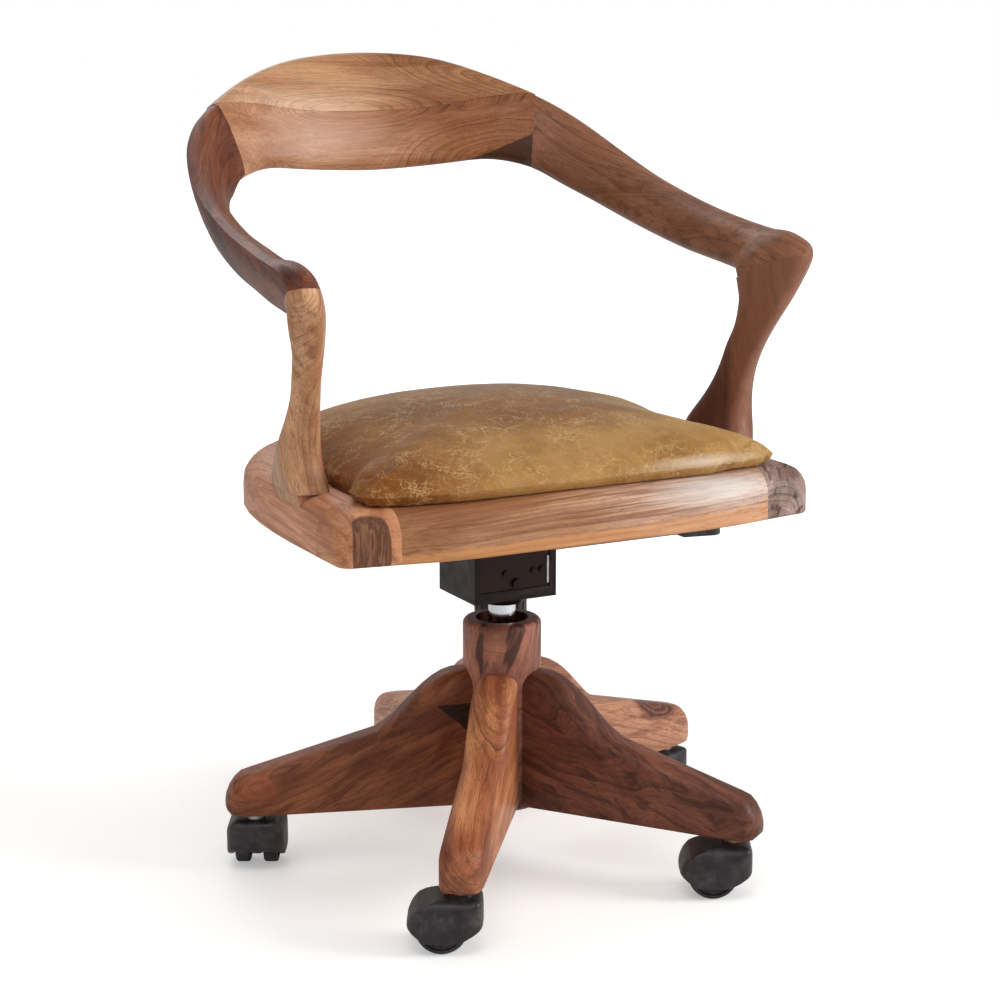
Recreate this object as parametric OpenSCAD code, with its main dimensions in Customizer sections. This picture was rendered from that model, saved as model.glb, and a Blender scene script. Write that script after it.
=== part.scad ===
// Wooden desk armchair on a turning, rising and tilting column with a five-legged caster base.
// The origin is on the floor under the column, +Z is up and the sitter faces -Y.
// Left and right are the sitter's, so left is +X.

/* [Base] */
// Radius from the column to the caster stems
stem_circle = 258.5; // [240:0.5:275]
// Height of the undersides of the legs above the floor
leg_under = 61; // [60.5:0.5:66]
// Height of the legs where they meet the hub
leg_rise = 205; // [190:1:215]
// Height of the legs above the caster stems
leg_toe_h = 109; // [104:1:118]
// Width of a leg
leg_w = 44; // [38:0.5:46]
// Length of a leg past its caster stem
leg_tip = 30.5; // [28:0.5:40]
// Diameter of the hub
hub_d = 81; // [79:0.5:88]
// Height of the top of the hub
hub_top = 257; // [250:1:258]
// Diameter of the steel stand tube
tube_d = 50; // [46:0.5:52]

/* [Gas spring] */
// Diameter of the chromed cylinder
cyl_d = 28; // [26:0.5:29]
// Height of the top of the cylinder with the seat lowered
cyl_top = 315; // [311:0.5:316]
// How far the seat rises
seat_travel = 100; // [60:1:110]
// Diameter of the piston rod
rod_d = 10; // [8:0.5:11]

/* [Casters] */
// Diameter of a wheel
wheel_d = 50; // [44:0.5:50]
// Width of a wheel
wheel_w = 14.6; // [12:0.1:15]
// Distance of the wheel axle behind the stem
trail = 20; // [17:0.5:22]
// Diameter of the stem
stem_d = 11; // [9:0.5:11.5]
// Width of the hood over both wheels
hood_w = 61; // [59:0.5:64]

/* [Tilt mechanism] */
// Width of the tilt housing
house_w = 94; // [90:1:104]
// Height of the underside of the housing's floor
house_z = 281; // [279:0.5:282]
// Height of the tilt pivot
pivot_z = 345; // [344:0.5:346]
// Distance of the tilt pivot in front of the column
pivot_front = 12; // [8:0.5:14]
// Diameter of the pivot pin
pivot_d = 10; // [8:0.5:11]
// Sideways and rearward place of the tilt spring and its knob
spring_x = 36; // [30:1:38]
spring_y = 72; // [72:1:78]
// Diameter of the tension knob
knob_d = 56; // [50:1:60]
// Reach of the lever from the column to its tip
lever_reach = 262; // [220:1:266]

/* [Seat frame] */
// Height of the underside of the seat frame
frame_z = 375; // [375:0.5:379]
// Depth of the rails from underside to top
rail_h = 50; // [46:0.5:56]
// Width of the rails seen from above
rail_w = 48; // [46:0.5:52]
// Half the width of the seat frame
seat_half = 259; // [252:0.5:266]
// Reach of the front rail in front of the column
seat_front = 196; // [190:0.5:203]
// Reach of the rear rail behind the column
seat_rear = 255; // [246:1:267]
// How far the front corners stand back behind the middle of the front rail
front_bow = 17.8; // [10:0.1:22]
// Height of the vertical part of the rails' outer face
face_h = 23; // [18:0.5:26]
// How far the rounded top edge reaches inwards
round_in = 27; // [20:0.5:30]

/* [Cushion] */
// Height of the crown of the cushion
crown_z = 488; // [476:1:500]
// How far the cushion's edge stays inside the frame's outline
cushion_in = 29; // [25:0.5:34]

/* [Back and arms] */
// Height of the middle of the crest's lower edge
crest_low = 692; // [686:1:700]
// Height of the crest board at its middle
crest_deep = 125; // [117:1:133]
// Height of the tops of the arms at their front ends
arm_high = 650; // [640:1:660]
// Thickness of the crest and of the arms at their joints
band_t = 28; // [24:0.5:32]
// Thickness of the arms at their front ends
knuckle_t = 38; // [34:0.5:41]
// Thickness of the posts at the waist
waist_t = 27.5; // [25:0.5:31]

/* [Hidden] */
$fn = 64;

// Clearances: radial in a running fit, radial in a glued or pressed fit, and between resting faces
run_gap = 0.05;
glue_gap = 0.02;
seat_gap = 0.3;

// Directions of the five legs, and the direction in which each caster trails
leg_angles = [-126, -54, 18, 90, 162];
trail_angles = [152, 152, 110, 75, 62];

// Colours of the timbers and of the other materials
walnut_mid = "#8a5a3c";
walnut_dark = "#4b2b22";
walnut_red = "#7a4430";
walnut_pale = "#a5764f";
black_part = "#262425";
steel = "#b9bcc0";

function unit(v) = v / norm(v);
function lerp(a, b, t) = a + (b - a) * t;
function clamp01(t) = max(0, min(1, t));
function smooth(t) = let (c = clamp01(t)) c * c * (3 - 2 * c);
function sgn_pow(v, e) = sign(v) * pow(abs(v), e);
function mirrored(p) = [-p[0], p[1], p[2]];

// A skin over rings of points that run anticlockwise seen from the last ring, closed by flat ends
module loft(rings) {
    n = len(rings[0]);
    m = len(rings);
    sides = [for (i = [0:m - 2], j = [0:n - 1])
        let (a = i * n + j, b = i * n + (j + 1) % n)
        each [[a, b + n, b], [a, a + n, b + n]]];
    ends = [for (j = [1:n - 2]) each [[0, j, j + 1], [(m - 1) * n, (m - 1) * n + j + 1, (m - 1) * n + j]]];
    polyhedron([for (r = rings) each r], concat(sides, ends), convexity = 6);
}

// Base

toe_slope = 0.286;
toe_r = stem_circle + leg_tip;
toe_z = 71;
shoulder_r = 45;
shoulder_len = 90;
tip_round = 34;
foot_round = toe_z - leg_under;

// Upper edge of a leg: level at the hub, swept down to a straight slope, then rounded to the tip
function leg_line(r) = leg_toe_h + toe_slope * (stem_circle - 5.5 - r);
function leg_sweep(r) = lerp(leg_rise, leg_line(r), smooth((r - shoulder_r) / shoulder_len));
function leg_cap(r) = toe_z + (leg_toe_h - toe_z) * sqrt(1 - pow(clamp01((r - toe_r + tip_round) / tip_round), 2));
function leg_high(r) = r > toe_r - tip_round ? min(leg_sweep(r), leg_cap(r)) : leg_sweep(r);
function leg_low(r) = toe_z - foot_round * sqrt(1 - pow(clamp01((r - toe_r + foot_round) / foot_round), 2));
function leg_half(r) = leg_w / 2 * pow(1 - pow(clamp01((r - toe_r + tip_round) / tip_round), 2.8), 1 / 2.8);

// Section of a leg, with a broad rounding above and a small one below
function leg_ring(r) = let (
    hw = max(leg_half(r), 3),
    lo = leg_low(r),
    hi = max(leg_high(r), lo + 4),
    ru = min(15, hw * 0.8, (hi - lo) * 0.45),
    rl = min(4, hw * 0.4, (hi - lo) * 0.3)
) concat(
    [for (a = [270, 315, 360]) [r, hw - rl + rl * cos(a), lo + rl + rl * sin(a)]],
    [for (a = [0:18:90]) [r, hw - ru + ru * cos(a), hi - ru + ru * sin(a)]],
    [for (a = [90:18:180]) [r, -hw + ru + ru * cos(a), hi - ru + ru * sin(a)]],
    [for (a = [180, 225, 270]) [r, -hw + rl + rl * cos(a), lo + rl + rl * sin(a)]]
);
leg_stations = concat(
    [30, 40, 52, 62, 72, 82, 92, 103, 116, 132, 160, 200, 235],
    [for (a = [0:15:90]) toe_r - tip_round + (tip_round - 0.4) * sin(a)]
);

// Dowels that hold each leg to the hub, and steel sockets for the caster stems
dowel_r = 5;
dowel_in = 11;
dowel_out = 34;
dowel_heights = [95, 175];
socket_r = 8;
socket_top = leg_under + 31;
flange_r = 13;
flange_t = 2;

module leg(k) {
    color(k == 0 ? "#a8623a" : k == 1 ? walnut_dark : k == 2 ? walnut_pale : walnut_mid)
    rotate([0, 0, leg_angles[k]])
    difference() {
        loft([for (r = leg_stations) leg_ring(r)]);
        cylinder(h = 2 * hub_top, r = hub_d / 2, center = true);
        leg_dowel_holes();
        translate([stem_circle, 0, leg_under - 1])
            cylinder(h = socket_top - leg_under + 1 + glue_gap, r = socket_r + glue_gap);
    }
}

module leg_dowel_holes() {
    for (z = dowel_heights)
        translate([hub_d / 2 - dowel_in, 0, z])
            rotate([0, 90, 0])
                cylinder(h = dowel_in + dowel_out, r = dowel_r + glue_gap);
}

module leg_dowels() {
    color("#d8bb8a")
    for (angle = leg_angles, z = dowel_heights)
        rotate([0, 0, angle])
            translate([hub_d / 2 - dowel_in + seat_gap, 0, z])
                rotate([0, 90, 0])
                    cylinder(h = dowel_in + dowel_out - 2 * seat_gap, r = dowel_r);
}

// Turned hub: it narrows nowhere, has a rounded rim and a bore that carries the stand tube
hub_low = 58;
tube_low = 66;
tube_high = hub_top - 16;
mouth_r = tube_d / 2 + 2;
rim_round = 6;

module hub() {
    color(walnut_dark)
    difference() {
        rotate_extrude()
            polygon(concat(
                [[0, hub_low], [hub_d / 2 - 3, hub_low], [hub_d / 2, hub_low + 3]],
                [for (a = [0:15:90]) [hub_d / 2 - rim_round * (1 - cos(a)), hub_top - rim_round * (1 - sin(a))]],
                [[0, hub_top]]
            ));
        translate([0, 0, tube_high])
            cylinder(h = hub_top, r = mouth_r);
        translate([0, 0, tube_low])
            cylinder(h = hub_top, r = tube_d / 2 + glue_gap);
        cylinder(h = hub_top, r = 18);
        for (angle = leg_angles)
            rotate([0, 0, angle])
                leg_dowel_holes();
    }
}

module caster_sockets() {
    color(steel)
    for (angle = leg_angles)
        rotate([0, 0, angle])
            translate([stem_circle, 0, 0])
                difference() {
                    union() {
                        translate([0, 0, leg_under - flange_t])
                            cylinder(h = flange_t, r = flange_r);
                        translate([0, 0, leg_under - flange_t])
                            cylinder(h = socket_top - leg_under + flange_t, r = socket_r);
                    }
                    translate([0, 0, leg_under - flange_t - 1])
                        cylinder(h = socket_top - leg_under, r = stem_d / 2 + run_gap);
                }
}

// Gas spring: stand tube, guide bush, bearing, rod, clip, cylinder and release pin
tube_wall = 2;
tube_floor = 4;
bush_low = tube_high - 46;
spigot_r = rod_d / 2 - 1;
bearing_low = tube_low + tube_floor;
bearing_h = 6;
collar_z = bearing_low + bearing_h;
cyl_low = collar_z + 6;
cyl_wall = 2;
plug_low = 8;
plug_high = 22;
piston_z = cyl_low + plug_low + seat_travel + 2;
piston_h = 8;
pin_r = 2;
pin_out = 5.5;
pin_travel = 3;

module stand_tube() {
    color(steel)
    difference() {
        translate([0, 0, tube_low])
            cylinder(h = tube_high - tube_low, r = tube_d / 2);
        translate([0, 0, bearing_low])
            cylinder(h = tube_high, r = tube_d / 2 - tube_wall);
        cylinder(h = tube_high, r = spigot_r + run_gap);
    }
}

module guide_bush() {
    color("#d9d4c6")
    translate([0, 0, bush_low])
        difference() {
            union() {
                cylinder(h = tube_high - bush_low, r = tube_d / 2 - tube_wall - glue_gap);
                translate([0, 0, tube_high - bush_low])
                    cylinder(h = 2, r = tube_d / 2);
            }
            translate([0, 0, -1])
                cylinder(h = tube_high - bush_low + 4, r = cyl_d / 2 + run_gap);
        }
}

module thrust_bearing() {
    color(steel)
    difference() {
        union() {
            translate([0, 0, bearing_low])
                cylinder(h = 1.5, r = 12);
            translate([0, 0, bearing_low + 1.5])
                cylinder(h = bearing_h - 3, r = 10.5);
            translate([0, 0, collar_z - 1.5])
                cylinder(h = 1.5 - run_gap, r = 12);
        }
        cylinder(h = hub_top, r = spigot_r + run_gap);
    }
}

module piston_rod() {
    color(steel)
    difference() {
        union() {
            translate([0, 0, collar_z])
                cylinder(h = 4, r = 9);
            translate([0, 0, collar_z])
                cylinder(h = piston_z - collar_z + 1, r = rod_d / 2);
            translate([0, 0, piston_z])
                cylinder(h = piston_h, r = cyl_d / 2 - cyl_wall - run_gap);
            translate([0, 0, clip_z - 3])
                cylinder(h = collar_z - clip_z + 4, r = spigot_r);
        }
        clip_groove();
    }
}

clip_t = 1.2;
clip_z = tube_low - seat_gap - clip_t;
clip_deep = 0.8;
module clip_groove() {
    translate([0, 0, clip_z])
        difference() {
            cylinder(h = clip_t, r = spigot_r + 1);
            translate([0, 0, -1])
                cylinder(h = clip_t + 2, r = spigot_r - clip_deep);
        }
}

module retaining_clip() {
    color(steel)
    translate([0, 0, clip_z + glue_gap])
        difference() {
            cylinder(h = clip_t - 2 * glue_gap, r = 8);
            translate([0, 0, -1])
                cylinder(h = clip_t + 2, r = spigot_r - clip_deep + glue_gap);
        }
}

module gas_cylinder() {
    color("#d5d7da")
    difference() {
        translate([0, 0, cyl_low])
            cylinder(h = cyl_top - cyl_low, r = cyl_d / 2);
        translate([0, 0, cyl_low + plug_low])
            cylinder(h = cyl_top - cyl_low - plug_low - plug_high, r = cyl_d / 2 - cyl_wall);
        translate([0, 0, cyl_low - 1])
            cylinder(h = plug_low + 2, r = rod_d / 2 + run_gap);
        translate([0, 0, cyl_top - plug_high - 1])
            cylinder(h = plug_high + 2, r = pin_r + run_gap);
    }
}

module release_pin() {
    color(steel)
    translate([0, 0, cyl_top - plug_high + pin_travel + 1])
        cylinder(h = plug_high - pin_travel - 1 + pin_out, r = pin_r);
}

// Casters, each drawn about its stem and trailing along +X
axle_z = wheel_d / 2;
axle_r = 3;
web_half = 6.5;
side_gap = 0.7;
hood_low = 13;
hood_end = 25;
hood_high = 54.5;
hood_back = 20;
hood_len = 74;
hood_mid = hood_len / 2 - hood_back;
hood_round = 9;
crown_r = 14;
slot_r = wheel_d / 2 + 0.8;
collar_low = hood_high + seat_gap;
collar_top = leg_under - flange_t - 0.4;

module at_caster(k) {
    rotate([0, 0, leg_angles[k]])
        translate([stem_circle, 0, 0])
            rotate([0, 0, trail_angles[k] - leg_angles[k]])
                children();
}

module wheel_slot(side) {
    translate([trail, side * web_half, axle_z])
        rotate([side * -90, 0, 0])
            cylinder(h = wheel_w + 2 * side_gap, r = slot_r);
}

// Outline of the hood from the side, from above and from behind
hood_side = concat(
    [[-hood_back, hood_end], [trail - 17, hood_low], [trail + 17, hood_low]],
    [for (a = [0:15:90]) [
        hood_len - hood_back - 38 * (1 - cos(a)),
        hood_end + (hood_high - hood_end) * sin(a)
    ]],
    [for (a = [90:30:180]) [-hood_back + hood_round * (1 + cos(a)), hood_high - hood_round * (1 - sin(a))]]
);
hood_plan = [for (a = [0:15:345]) [
    hood_mid + hood_len / 2 * sgn_pow(cos(a), 0.5),
    hood_w / 2 * sgn_pow(sin(a), 0.5)
]];
hood_rear_view = concat(
    [[hood_w / 2, 0]],
    [for (a = [0:15:90]) [hood_w / 2 - crown_r * (1 - cos(a)), hood_high - 18 * (1 - sin(a))]],
    [for (a = [90:15:180]) [-hood_w / 2 + crown_r * (1 + cos(a)), hood_high - 18 * (1 - sin(a))]],
    [[-hood_w / 2, 0]]
);

module hood(k) {
    color(black_part)
    at_caster(k)
    difference() {
        intersection() {
            rotate([90, 0, 0])
                linear_extrude(height = hood_w + 2, center = true)
                    polygon(hood_side);
            linear_extrude(height = hood_high + 1)
                polygon(hood_plan);
            translate([-hood_back - 1, 0, 0])
                rotate([90, 0, 90])
                    linear_extrude(height = hood_len + 2)
                        polygon(hood_rear_view);
        }
        wheel_slot(1);
        wheel_slot(-1);
        translate([trail, 0, axle_z])
            rotate([90, 0, 0])
                cylinder(h = 2 * web_half + 1, r = axle_r + glue_gap, center = true);
        translate([0, 0, stem_low])
            cylinder(h = leg_under, r = stem_d / 2 + glue_gap);
    }
}

stem_low = 38;
stem_top = socket_top - 4;
module stem(k) {
    color(steel)
    at_caster(k) {
        translate([0, 0, stem_low + seat_gap])
            cylinder(h = stem_top - stem_low - seat_gap, r = stem_d / 2);
        translate([0, 0, collar_low])
            cylinder(h = collar_top - collar_low, r = 10);
        translate([trail, 0, axle_z])
            rotate([90, 0, 0])
                cylinder(h = 2 * (web_half + wheel_w), r = axle_r, center = true);
    }
}

module wheel(k, side) {
    color("#1f1e1f")
    at_caster(k)
    translate([trail, side * (web_half + side_gap), axle_z])
        rotate([side * -90, 0, 0])
            rotate_extrude()
                polygon([
                    [axle_r + run_gap, 0], [9, 0], [9, 2.5], [axle_z - 4, 2.5], [axle_z - 4, 0], [axle_z - 1.5, 0],
                    [axle_z, 1.5], [axle_z, wheel_w - 1.5], [axle_z - 1.5, wheel_w], [axle_z - 4, wheel_w],
                    [axle_z - 4, wheel_w - 2.5], [9, wheel_w - 2.5], [9, wheel_w], [axle_r + run_gap, wheel_w]
                ]);
}

// Tilt mechanism, square to the seat: a sheet-steel housing on the cylinder and a plate that pivots on it
sheet = 3;
house_floor = 4;
house_front = 30;
house_back = 50;
recess_in = 7;
recess_t = 1.6;
boss_low = hub_top + 17;
boss_r = 20;
bell_r = 28;
boss_high = cyl_top - 2;
plate_t = 3;
plate_z = frame_z - plate_t;
rest_pad = plate_z - seat_gap;
lever_r = 4;
lever_z = cyl_top + pin_out + seat_gap + lever_r;
fulcrum_x = 40;
fulcrum_r = 2.5;
lug_t = 3;
arm_z = house_z + 10;
arm_t = 4;
spring_low = arm_z + arm_t + seat_gap;
spring_high = plate_z - seat_gap;

module tilt_housing() {
    color(black_part)
    difference() {
        union() {
            translate([-house_w / 2, -house_front, house_z])
                cube([house_w, house_front + house_back, house_floor]);
            for (x = [-house_w / 2, house_w / 2 - sheet])
                translate([x, 0, 0])
                    rotate([90, 0, 90])
                        linear_extrude(height = sheet)
                            polygon([
                                [-house_front, house_z], [house_back, house_z], [house_back, pivot_z - 15],
                                [14, pivot_z + 7], [-house_front + 10, pivot_z + 10],
                                [-house_front + 8, rest_pad], [-house_front, rest_pad]
                            ]);
            translate([-house_w / 2, -house_front, house_z])
                cube([house_w, sheet, rest_pad - house_z]);
            translate([-house_w / 2, house_back - sheet, house_z])
                cube([house_w, sheet, 34]);
            cylinder(h = boss_high, r = boss_r);
            rotate_extrude()
                polygon([[0, boss_low], [boss_r + 1, boss_low], [boss_r + 4, boss_low + 4], [bell_r, house_z], [0, house_z]]);
            translate([spring_x - 24, house_back - sheet, arm_z])
                cube([48, spring_y - house_back + 24, arm_t]);
            for (x = [spring_x - 24, spring_x + 20])
                translate([x, 0, 0])
                    rotate([90, 0, 90])
                        linear_extrude(height = 4)
                            polygon([[house_back - 1, house_z], [house_back - 1, arm_z], [spring_y + 20, arm_z]]);
            for (y = [-lever_r - 1 - lug_t, lever_r + 1])
                translate([fulcrum_x - 5, y, house_z])
                    cube([10, lug_t, lever_z - house_z + 6]);
        }
        translate([0, 0, -1])
            cylinder(h = boss_low + 1, r = boss_r + 5);
        cylinder(h = boss_high + 1, r = cyl_d / 2 + glue_gap);
        translate([0, -pivot_front, pivot_z])
            rotate([0, 90, 0])
                cylinder(h = house_w + 2, r = pivot_d / 2 + glue_gap, center = true);
        translate([fulcrum_x, 0, lever_z])
            rotate([90, 0, 0])
                cylinder(h = 40, r = fulcrum_r + run_gap, center = true);
        translate([house_w / 2 - sheet - 1, -lever_r - 1, lever_z - lever_r - 2])
            cube([sheet + 2, 2 * lever_r + 2, 2 * lever_r + 5]);
        translate([spring_x, spring_y, arm_z - 1])
            cylinder(h = arm_t + 2, r = bolt_r + glue_gap);
        translate([-house_w / 2 + recess_in, -house_front - 1, house_z + recess_in + 4])
            cube([house_w - 2 * recess_in, 1 + recess_t, rest_pad - house_z - 2 * recess_in - 4]);
    }
}

module pivot_pin() {
    color(steel)
    translate([0, -pivot_front, pivot_z])
        rotate([0, 90, 0]) {
            cylinder(h = house_w + 8, r = pivot_d / 2, center = true);
            translate([0, 0, house_w / 2 + seat_gap])
                cylinder(h = 4, r = pivot_d / 2 + 3);
        }
}

// Tension bolt held in the housing's arm, with the knob turning on its lower end
bolt_r = 6;
knob_low = house_z - 46;
knob_h = 28;
module tension_bolt() {
    color(steel)
    translate([spring_x, spring_y, 0]) {
        translate([0, 0, knob_low + 8])
            cylinder(h = pivot_z - 12 - knob_low - 8, r = bolt_r);
        translate([0, 0, knob_low + knob_h + seat_gap])
            cylinder(h = arm_z - knob_low - knob_h - 2 * seat_gap, r = 11);
    }
}

knob_ribs = 18;
module tension_knob() {
    color(black_part)
    translate([spring_x, spring_y, knob_low])
        difference() {
            rotate_extrude()
                polygon([
                    [0, 0], [knob_d / 2 - 5, 0], [knob_d / 2 - 1, 4], [knob_d / 2, 9],
                    [knob_d / 2, knob_h - 4], [knob_d / 2 - 4, knob_h], [0, knob_h]
                ]);
            for (i = [0:knob_ribs - 1])
                rotate([0, 0, i * 360 / knob_ribs])
                    translate([knob_d / 2 + 1, 0, -1])
                        cylinder(h = knob_h + 2, r = 2.6, $fn = 24);
            translate([0, 0, 8])
                cylinder(h = knob_h, r = bolt_r + run_gap);
        }
}

// Tilt spring: an open coil between the housing's arm and the plate
coil_r = 15;
wire_r = 2.5;
coil_turns = 6;
coil_steps = 12;
wire_sides = 6;
coil_rise = (spring_high - spring_low - 2 * wire_r) / coil_turns;
function coil_ring(i) = let (
    a = i * 360 / coil_steps,
    z = spring_low + wire_r + coil_rise * i / coil_steps
) [for (j = [0:wire_sides - 1]) let (b = j * 360 / wire_sides)
    [spring_x + (coil_r + wire_r * cos(b)) * cos(a), spring_y + (coil_r + wire_r * cos(b)) * sin(a), z + wire_r * sin(b)]];

// Least gap of the coil to itself, measured on its points: the first turn against the one after it
coil_gap = min([for (i = [0:coil_steps], k = [coil_steps / 2:coil_steps * 3 / 2])
    for (p = coil_ring(i), q = coil_ring(i + k)) norm(p - q)]);
echo(least_gap_of_tilt_spring_mm = coil_gap);

module tilt_spring() {
    color(steel)
    loft([for (i = [coil_turns * coil_steps:-1:0]) coil_ring(i)]);
}

// Lever: a rod across the pin with a fulcrum in the housing and a flat paddle at its tip
paddle_len = 48;
paddle_w = 30;
paddle_t = 6;
rod_end = lever_reach - paddle_len + 24;
module lever_rod() {
    color(black_part) {
        translate([-6, 0, lever_z])
            rotate([0, 90, 0])
                cylinder(h = rod_end + 6, r = lever_r);
        translate([fulcrum_x, 0, lever_z])
            rotate([90, 0, 0])
                cylinder(h = 2 * (lever_r + 1 + lug_t), r = fulcrum_r, center = true);
    }
}

module lever_paddle() {
    color(black_part)
    difference() {
        translate([lever_reach - paddle_len, 0, lever_z - lever_r - 2])
            linear_extrude(height = lever_r + paddle_t - 1)
                polygon(concat(
                    [[0, -8], [0, 8]],
                    [for (a = [90:-15:-90]) [
                        paddle_len - 14 + 14 * cos(a),
                        paddle_w / 2 * sin(a)
                    ]]
                ));
        translate([0, 0, lever_z])
            rotate([0, 90, 0])
                cylinder(h = rod_end + seat_gap, r = lever_r + glue_gap);
    }
}

// Top plate: two cheeks on the pivot pin below a plate that is bolted to the wooden bearers
cheek_out = house_w / 2 - sheet - seat_gap;
plate_half = 78;
plate_front = 82;
plate_back = 102;
bolt_x = 60;
bolt_front = -60;
bolt_back = 80;
bolt_shank = 4;
bolt_long = 18;

module top_plate() {
    color(black_part)
    difference() {
        union() {
            translate([-plate_half, -plate_front, plate_z])
                cube([2 * plate_half, plate_front + plate_back, plate_t]);
            for (x = [-cheek_out, cheek_out - 4])
                translate([x, 0, 0])
                    rotate([90, 0, 90])
                        linear_extrude(height = 4)
                            polygon([
                                [-house_front + 12, plate_z + 1], [-pivot_front - 8, pivot_z], [-pivot_front - 6, pivot_z - 8],
                                [-pivot_front + 6, pivot_z - 8], [-pivot_front + 8, pivot_z], [40, plate_z + 1]
                            ]);
        }
        translate([0, -pivot_front, pivot_z])
            rotate([0, 90, 0])
                cylinder(h = house_w, r = pivot_d / 2 + run_gap, center = true);
        for (x = [-bolt_x, bolt_x], y = [bolt_front, bolt_back])
            translate([x, y, plate_z - 1])
                cylinder(h = plate_t + 2, r = bolt_shank + 0.2);
    }
}

module plate_bolts() {
    color(steel)
    for (x = [-bolt_x, bolt_x], y = [bolt_front, bolt_back])
        translate([x, y, plate_z]) {
            translate([0, 0, -5.3])
                cylinder(h = 5.3 - glue_gap, r = 7.2, $fn = 6);
            translate([0, 0, -1])
                cylinder(h = plate_t + bolt_long + 1, r = bolt_shank);
        }
}

// Seat frame, drawn from one outline that can be set in by any distance

rail_top = frame_z + rail_h;
corner_r = 16;
rear_start = -115;
rear_power = 3;
side_joint_y = -121;
front_joint_x = 201;
rear_joint_a = 52;

// Places along the left half: 0 to 1 the front, 1 to 2 the corner, 2 to 3 the side, 3 to 4 the rear
function front_y(x, d) = -(seat_front - d) + front_bow * smooth((abs(x) - 125) / (seat_half - 125));
function corner_rd(d) = max(corner_r - d, 2);
function corner_c(d) = [seat_half - d - corner_rd(d), -(seat_front - front_bow - d) + corner_rd(d)];
function rear_at(a, d) = [
    (seat_half - d) * sgn_pow(cos(a), 2 / rear_power),
    rear_start + (seat_rear - rear_start - d) * sgn_pow(sin(a), 2 / rear_power)
];
function side_at(y, d) = [seat_half - d, y];
function corner_at(a, d) = corner_c(d) + corner_rd(d) * [cos(a), sin(a)];
function front_at(x, d) = [x, front_y(x, d)];

// Section of a rail: how far in from the outline, and how high
rail_section = concat(
    [[rail_w, 0], [rail_w, rail_h - 2], [rail_w - 2, rail_h]],
    [for (a = [90:-18:0]) [round_in * (1 - cos(a)), face_h + (rail_h - face_h) * sin(a)]],
    [[0, 2], [2, 0]]
);
front_places = [for (x = [-front_joint_x, -185, -160, -120, -60, 0, 60, 120, 160, 185, front_joint_x]) x];

function front_ring(x) = [for (s = rail_section) [x, front_y(x, s[0]), frame_z + s[1]]];
function ring_at(kind, t) = [for (s = rail_section) let (
    p = kind == 0 ? [t, front_y(min(t, corner_c(s[0])[0]), s[0])]
      : kind == 1 ? corner_at(t, s[0])
      : kind == 2 ? side_at(t, s[0])
      : rear_at(t, s[0])
) [p[0], p[1], frame_z + s[1]]];

corner_rings = concat(
    [for (x = [front_joint_x, (front_joint_x + 208) / 2]) ring_at(0, x)],
    [for (a = [-90:15:0]) ring_at(1, a)],
    [ring_at(2, side_joint_y)]
);
side_rings = concat(
    [ring_at(2, side_joint_y)],
    [for (a = [0, 4, 9, 15, 22, 30, 38, 45, rear_joint_a]) ring_at(3, a)]
);
rear_rings = [for (a = [rear_joint_a, 56, 61, 67, 74, 82, 90, 98, 106, 113, 119, 124, 180 - rear_joint_a]) ring_at(3, a)];

// The part of the frame's opening inside the rails, set in by d, as an outline
function opening(d) = let (
    half = concat(
        [for (x = [0, 60, 120, 160, 185]) front_at(x, d)],
        [for (a = [-90:30:0]) corner_at(a, d)],
        [side_at(side_joint_y, d)],
        [for (a = [0, 4, 9, 15, 22, 30, 38, 45, 52, 56, 61, 67, 74, 82, 90]) rear_at(a, d)]
    ),
    n = len(half)
) concat(half, [for (i = [n - 2:-1:1]) [-half[i][0], half[i][1]]]);

// Two dowels across each joint of the frame
frame_dowel_r = 5;
frame_dowel_len = 50;
dowel_rows = [frame_z + 14, frame_z + 30];
dowel_set = 27;
rear_joint = rear_at(rear_joint_a, dowel_set);
rear_joint_dir = unit([
    (seat_rear - rear_start) * cos(rear_joint_a) * 0 - (rear_at(rear_joint_a, 0)[1] - rear_joint[1]),
    rear_at(rear_joint_a, 0)[0] - rear_joint[0]
]);
rear_joint_turn = atan2(rear_joint_dir[1], rear_joint_dir[0]);

module frame_dowel(len, rad) {
    for (z = dowel_rows) {
        translate([front_joint_x, front_y(front_joint_x, dowel_set), z])
            rotate([0, 90, 0])
                cylinder(h = len, r = rad, center = true);
        translate([seat_half - dowel_set, side_joint_y, z])
            rotate([90, 0, 0])
                cylinder(h = len, r = rad, center = true);
        translate([rear_joint[0], rear_joint[1], z])
            rotate([0, 0, rear_joint_turn])
                rotate([0, 90, 0])
                    cylinder(h = len, r = rad, center = true);
    }
}

module frame_dowels() {
    color("#d8bb8a") {
        frame_dowel(frame_dowel_len - 2 * seat_gap, frame_dowel_r);
        mirror([1, 0, 0])
            frame_dowel(frame_dowel_len - 2 * seat_gap, frame_dowel_r);
    }
}

module front_rail() {
    color(walnut_mid)
    difference() {
        loft([for (x = front_places) front_ring(x)]);
        frame_dowel(frame_dowel_len, frame_dowel_r + glue_gap);
        mirror([1, 0, 0])
            frame_dowel(frame_dowel_len, frame_dowel_r + glue_gap);
    }
}

module corner_block() {
    difference() {
        loft(corner_rings);
        frame_dowel(frame_dowel_len, frame_dowel_r + glue_gap);
    }
}

module corner_left() {
    color(walnut_dark)
        corner_block();
}

module corner_right() {
    color(walnut_red)
        mirror([1, 0, 0])
            corner_block();
}

module side_rail() {
    difference() {
        loft(side_rings);
        frame_dowel(frame_dowel_len, frame_dowel_r + glue_gap);
        bearer_bars(glue_gap);
        post_foot(glue_gap);
    }
}

module side_rail_left() {
    color(walnut_red)
        side_rail();
}

module side_rail_right() {
    color(walnut_mid)
        mirror([1, 0, 0])
            side_rail();
}

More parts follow.
